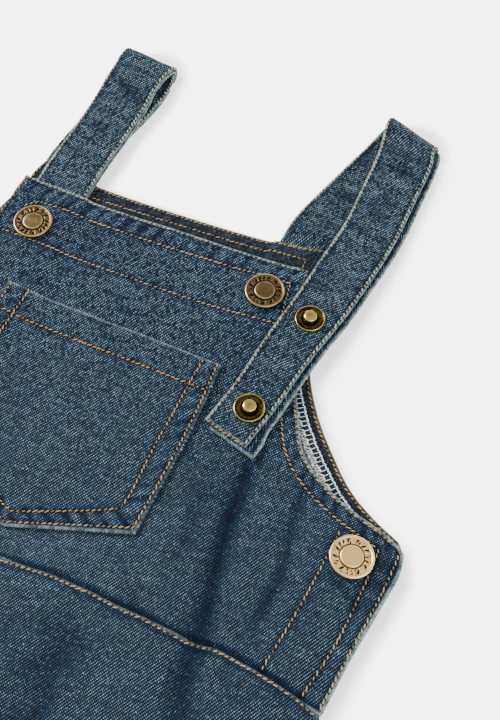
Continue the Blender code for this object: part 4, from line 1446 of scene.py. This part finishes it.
def sewing_thread(name, bright, dull, faded):
    """Twisted sewing thread: each strand its own mix of bright and dull, dull too at its ends as
    painted shade, some rows faded.
    """
    material, w, shader = blank_material(name)
    tone = w.value("tone")
    fibre = w.noise(w.node("ShaderNodeTexCoord").outputs["Object"], 1600.0)
    base = w.mix(w.ramp(tone, 0.45, 0.95), bright, dull)
    pale = w.mix(w.ramp(tone, 0.4, 1.0), faded, dull)
    colour = w.mix(w.value("fade"), base, pale)
    w.dress(shader, {"Base Color": w.shaded_by(colour, w.plus(0.5, fibre)),
                     "Normal": w.bump(fibre, 0.5, 0.00008),
                     "Roughness": 0.75, "Specular IOR Level": 0.2})
    return material


def aged_brass(name, bright, middle, dark, low_rough, high_rough):
    """Antique brass: bright where it is rubbed, brown on its flats, near black in its recesses."""
    material, w, shader = blank_material(name)
    place = w.node("ShaderNodeTexCoord").outputs["Object"]
    mottle = w.noise(place, 900.0, 4.0)
    stain = w.noise(place, 260.0, 3.0)
    patina = w.plus(w.value("patina"), w.times(w.minus(stain, 0.5), 0.45))
    patina = w.plus(patina, w.times(w.minus(mottle, 0.5), 0.35))
    colour = w.mix(w.ramp(patina, 0.0, 0.45), bright, middle)
    deep = w.ramp(patina, 0.45, 1.0)
    w.dress(shader, {"Base Color": w.mix(deep, colour, dark),
                     "Normal": w.bump(mottle, 0.3, 0.00005), "Metallic": 1.0,
                     "Roughness": w.spread(deep, low_rough, high_rough - low_rough)})
    return material


def stand_for(piece, node):
    """A piece is shown for its node, whose solid is hidden, and rides with the part."""
    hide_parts(node)
    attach(piece, "root")


def declare(piece, node):
    """A cloth piece stands for its node."""
    stand_for(piece, node)


STITCH_PITCH = 2.2
THREAD_RADIUS = 0.30


def row_on(path, height, fade, pitch=STITCH_PITCH):
    """A sewn row on a surface, from a line of (x, y)."""
    points, up = on_surface(resample(np.asarray(path, float), 0.8), height, 0.05)
    return points, up, pitch, THREAD_RADIUS, fade


def sew_front(thread):
    """The rows of the upper front, the waist seam and the leg hems."""
    rows = []
    fades = {"bib_1": 0.95, "bib_2": 0.6, "bib_3": 0.5, "patch": 0.9, "armhole_1": 0.3,
             "armhole_2": 0.25, "placket": 0.3, "placket_edge": 0.5}
    for name, paths in FRONT_ROWS.items():
        rows += [row_on(path, front_top, fades[name]) for path in paths]
    make_stitches("stitches_front_upper", rows, thread)
    half = FRONT_SIDE[0][1] - 2.0
    x = np.linspace(-half, half, 300)
    rows = [row_on(np.column_stack([x, seam_line(x) - SEAM_ROW_IN]), seam_top, 0.4)]
    for distance in LEG_ROWS:
        for path in both_sides(inside_of(LEG_EDGE, distance)[1:-1]):
            rows.append(row_on(path, seam_top, 0.3))
    make_stitches("stitches_front_lower", rows, thread)


def seam_top(x, y):
    """Upper face of the lower front."""
    return front_form(x, y) + seam_relief(x, y)[0]


def sew_back(thread):
    """The rows along the back's top and armholes."""
    half = BACK_ARMHOLE[-1][1] - 1.6
    x = BACK_SHIFT + np.linspace(-half, half, 120)
    rows = [row_on(np.column_stack([x, back_top(x) - BACK_ROW_IN]), back_face, 0.45),
            row_on(curve(BACK_ROW_2, 60), back_face, 0.3),
            row_on(curve(BACK_TACK, 6), back_face, 0.0, 0.9)]
    edge = curve(BACK_ARMHOLE, 120)[:, ::-1]
    for side in (-1.0, 1.0):
        line = inside_of(edge, BACK_ROW_IN)[1:-2]
        path = np.column_stack([side * line[:, 0] + back_shift(line[:, 1]), line[:, 1]])
        rows.append(row_on(path, back_face, 0.15))
        line = inside_of(edge, NEEDLE_ROW_IN)
        line = line[(line[:, 1] > 252.0) & (line[:, 1] < HEM_TOP - 2.0)]
        path = np.column_stack([side * line[:, 0] + back_shift(line[:, 1]), line[:, 1]])
        rows.append(row_on(path, hem_face, 0.0))
    make_stitches("stitches_back", rows, thread)


def sew_pocket(thread):
    """The pocket's twin rows and its hem row."""
    outer, inner = POCKET_LINES
    left = POCKET_X - POCKET_SIDE[-1][1] + POCKET_ROW_OUT
    x = np.linspace(left, 2 * POCKET_X - left, 120)
    hem = np.column_stack([x, pocket_top(x) - POCKET_HEM_IN])
    rows = [row_on(outer, pocket_face, 0.2), row_on(inner, pocket_face, 0.1),
            row_on(hem, pocket_face, 0.1)]
    make_stitches("stitches_pocket", rows, thread)


# Rows of a strap: pitch, radius and fade on its face, on its lining and across its end
FACE_ROW = (STITCH_PITCH, 0.36, 1.0)
LINING_ROW = (STITCH_PITCH, 0.34, 0.8)
END_ROW = (2.1, 0.30, 0.4)
END_ROW_IN = 2.3                    # distance of the row across from the strap's end


def sew_strap(side, line, thread):
    """The rows along a strap's edges, on the ply that faces up on each leg, and across its end."""
    width, _, along = strap_frame(line)
    top = int(np.argmax(line[:, 1]))
    half = line[:, 4] / 2 - STRAP_ROW_IN
    rows = []
    for edge in (-1.0, 1.0):
        points, up = on_strap(line, 1.0, edge * half)
        keep = slice(top - 6, int(np.searchsorted(along, along[-1] - 1.8)))
        rows.append((points[keep], up[keep], *FACE_ROW))
        points, up = on_strap(line, -1.0, edge * half)
        rows.append((points[4:top], up[4:top], *LINING_ROW))
    last = int(np.searchsorted(along, along[-1] - END_ROW_IN))
    across = np.linspace(-half[last], half[last], 24)
    place, up = on_strap(line[last - 1:last + 2], 1.0, 0.0)
    points = place[1] + width[last] * across[:, None]
    rows.append((points, np.tile(up[1], (len(across), 1)), *END_ROW))
    make_stitches(f"stitches_strap_{side}", rows, thread)


POCKET_EDGE = pocket_outline()
POCKET_LINES = pocket_rows()

INDIGO = (0.0035, 0.0135, 0.034)
WEFT_WHITE = (0.28, 0.425, 0.465)
WORN_EDGE = (0.26, 0.36, 0.37)
# Brass: name, colour where rubbed, on its flats and in its recesses, least and most rough
BRASSES = (
    ("dark_brass", (0.40, 0.29, 0.14), (0.120, 0.078, 0.030), (0.006, 0.004, 0.003), 0.32, 0.6),
    ("pale_brass", (1.0, 0.72, 0.32), (1.0, 0.65, 0.24), (0.04, 0.025, 0.012), 0.34, 0.6),
    ("olive_brass", (0.56, 0.43, 0.12), (0.17, 0.12, 0.018), (0.010, 0.007, 0.002), 0.18, 0.4),
)

weave = twill_group()
body_denim = washed_denim("body_denim", weave, INDIGO, WEFT_WHITE, 1.0, WORN_EDGE, 1.1, 1.0)
back_denim = washed_denim("back_denim", weave, (0.006, 0.013, 0.026), (0.16, 0.21, 0.25), 0.9,
                          (0.15, 0.13, 0.09), 0.8, 0.8)
strap_denim = washed_denim("strap_denim", weave, (0.005, 0.018, 0.036), (0.34, 0.46, 0.48), 1.0,
                           (0.27, 0.35, 0.33), 1.6, 1.05)
hem_denim = washed_denim("hem_denim", weave, (0.006, 0.014, 0.028), (0.14, 0.2, 0.25), 0.9,
                         (0.30, 0.42, 0.46), 4.0, 0.9)
gold = sewing_thread("gold_thread", (0.46, 0.26, 0.075), (0.018, 0.011, 0.006),
                     (0.33, 0.35, 0.26))
white = sewing_thread("white_thread", (0.80, 0.88, 0.90), (0.5, 0.58, 0.62), (0.80, 0.88, 0.90))
brass = {row[0]: aged_brass(*row) for row in BRASSES}

front_upper, front_lower = make_front(body_denim)
back_upper, back_lower = make_back(back_denim)
declare(front_upper, "front_upper")
declare(front_lower, "front_lower")
hems = []
for side, name in ((-1.0, "left"), (1.0, "right")):
    hem = make_hem(side, hem_denim)
    stand_for(hem, f"armhole_hem_{name}")
    hems += [hem, make_overlock(side, white)]
declare(back_upper, "back_upper")
declare(back_lower, "back_lower")
declare(make_pocket(body_denim), "pocket")

strap_lines = {}
for side, back, fold, leg in (("left", STRAP_LEFT_BACK, STRAP_LEFT_FOLD, STRAP_LEFT_FRONT),
                              ("right", STRAP_RIGHT_BACK, STRAP_RIGHT_FOLD, STRAP_RIGHT_FRONT)):
    line = strap_line(back, fold, leg, 300)
    strap_lines[side] = line
    for ply, sign, shift, worn, seed in (("face", 1.0, 0.0, 0.9, 71),
                                         ("lining", -1.0, 1.0, 1.0, 81)):
        # The face ends two steps short of its lining
        piece = make_ply(f"denim_strap_{side}_{ply}", line[:-2] if ply == "face" else line, sign,
                         shift, worn, seed, strap_denim)
        declare(piece, f"strap_{side}_{ply}")
    sew_strap(side, line, gold)

sew_front(gold)
sew_back(gold)
sew_pocket(gold)

for pieces, profile, radius, dashes, slot in (
        (BIB_BUTTONS, CAP_PROFILE, CAP_RADIUS, CAP_DASHES, "dark_brass"),
        (SIDE_BUTTONS, CAP_PROFILE, CAP_RADIUS, CAP_DASHES, "pale_brass"),
        (CROTCH_SNAPS, SNAP_PROFILE, SNAP_RADIUS, None, "dark_brass")):
    for name, x, y in pieces:
        make_turned(f"cap_{name}", profile, *seat(x, y, radius), dashes, slot, name)
for level in ("upper", "lower"):
    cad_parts[f"stud_left_{level}"].material_slots[0].material = brass["olive_brass"]
line = strap_lines["right"]
width, face, along = strap_frame(line)
fold_at = along[np.argmax(line[:, 1])]
for level, drop, across in STUDS:
    step = int(np.argmin(np.abs(along - fold_at - drop)))
    centre = line[step, :3] + width[step] * across + face[step] * (STRAP_MIDDLE + 0.05)
    make_turned(f"metal_stud_right_{level}", STUD_PROFILE, centre, face[step], STUD_DASHES,
                "olive_brass", f"stud_right_{level}")

make_floor(strap_lines.values())
add_camera()
add_lights()
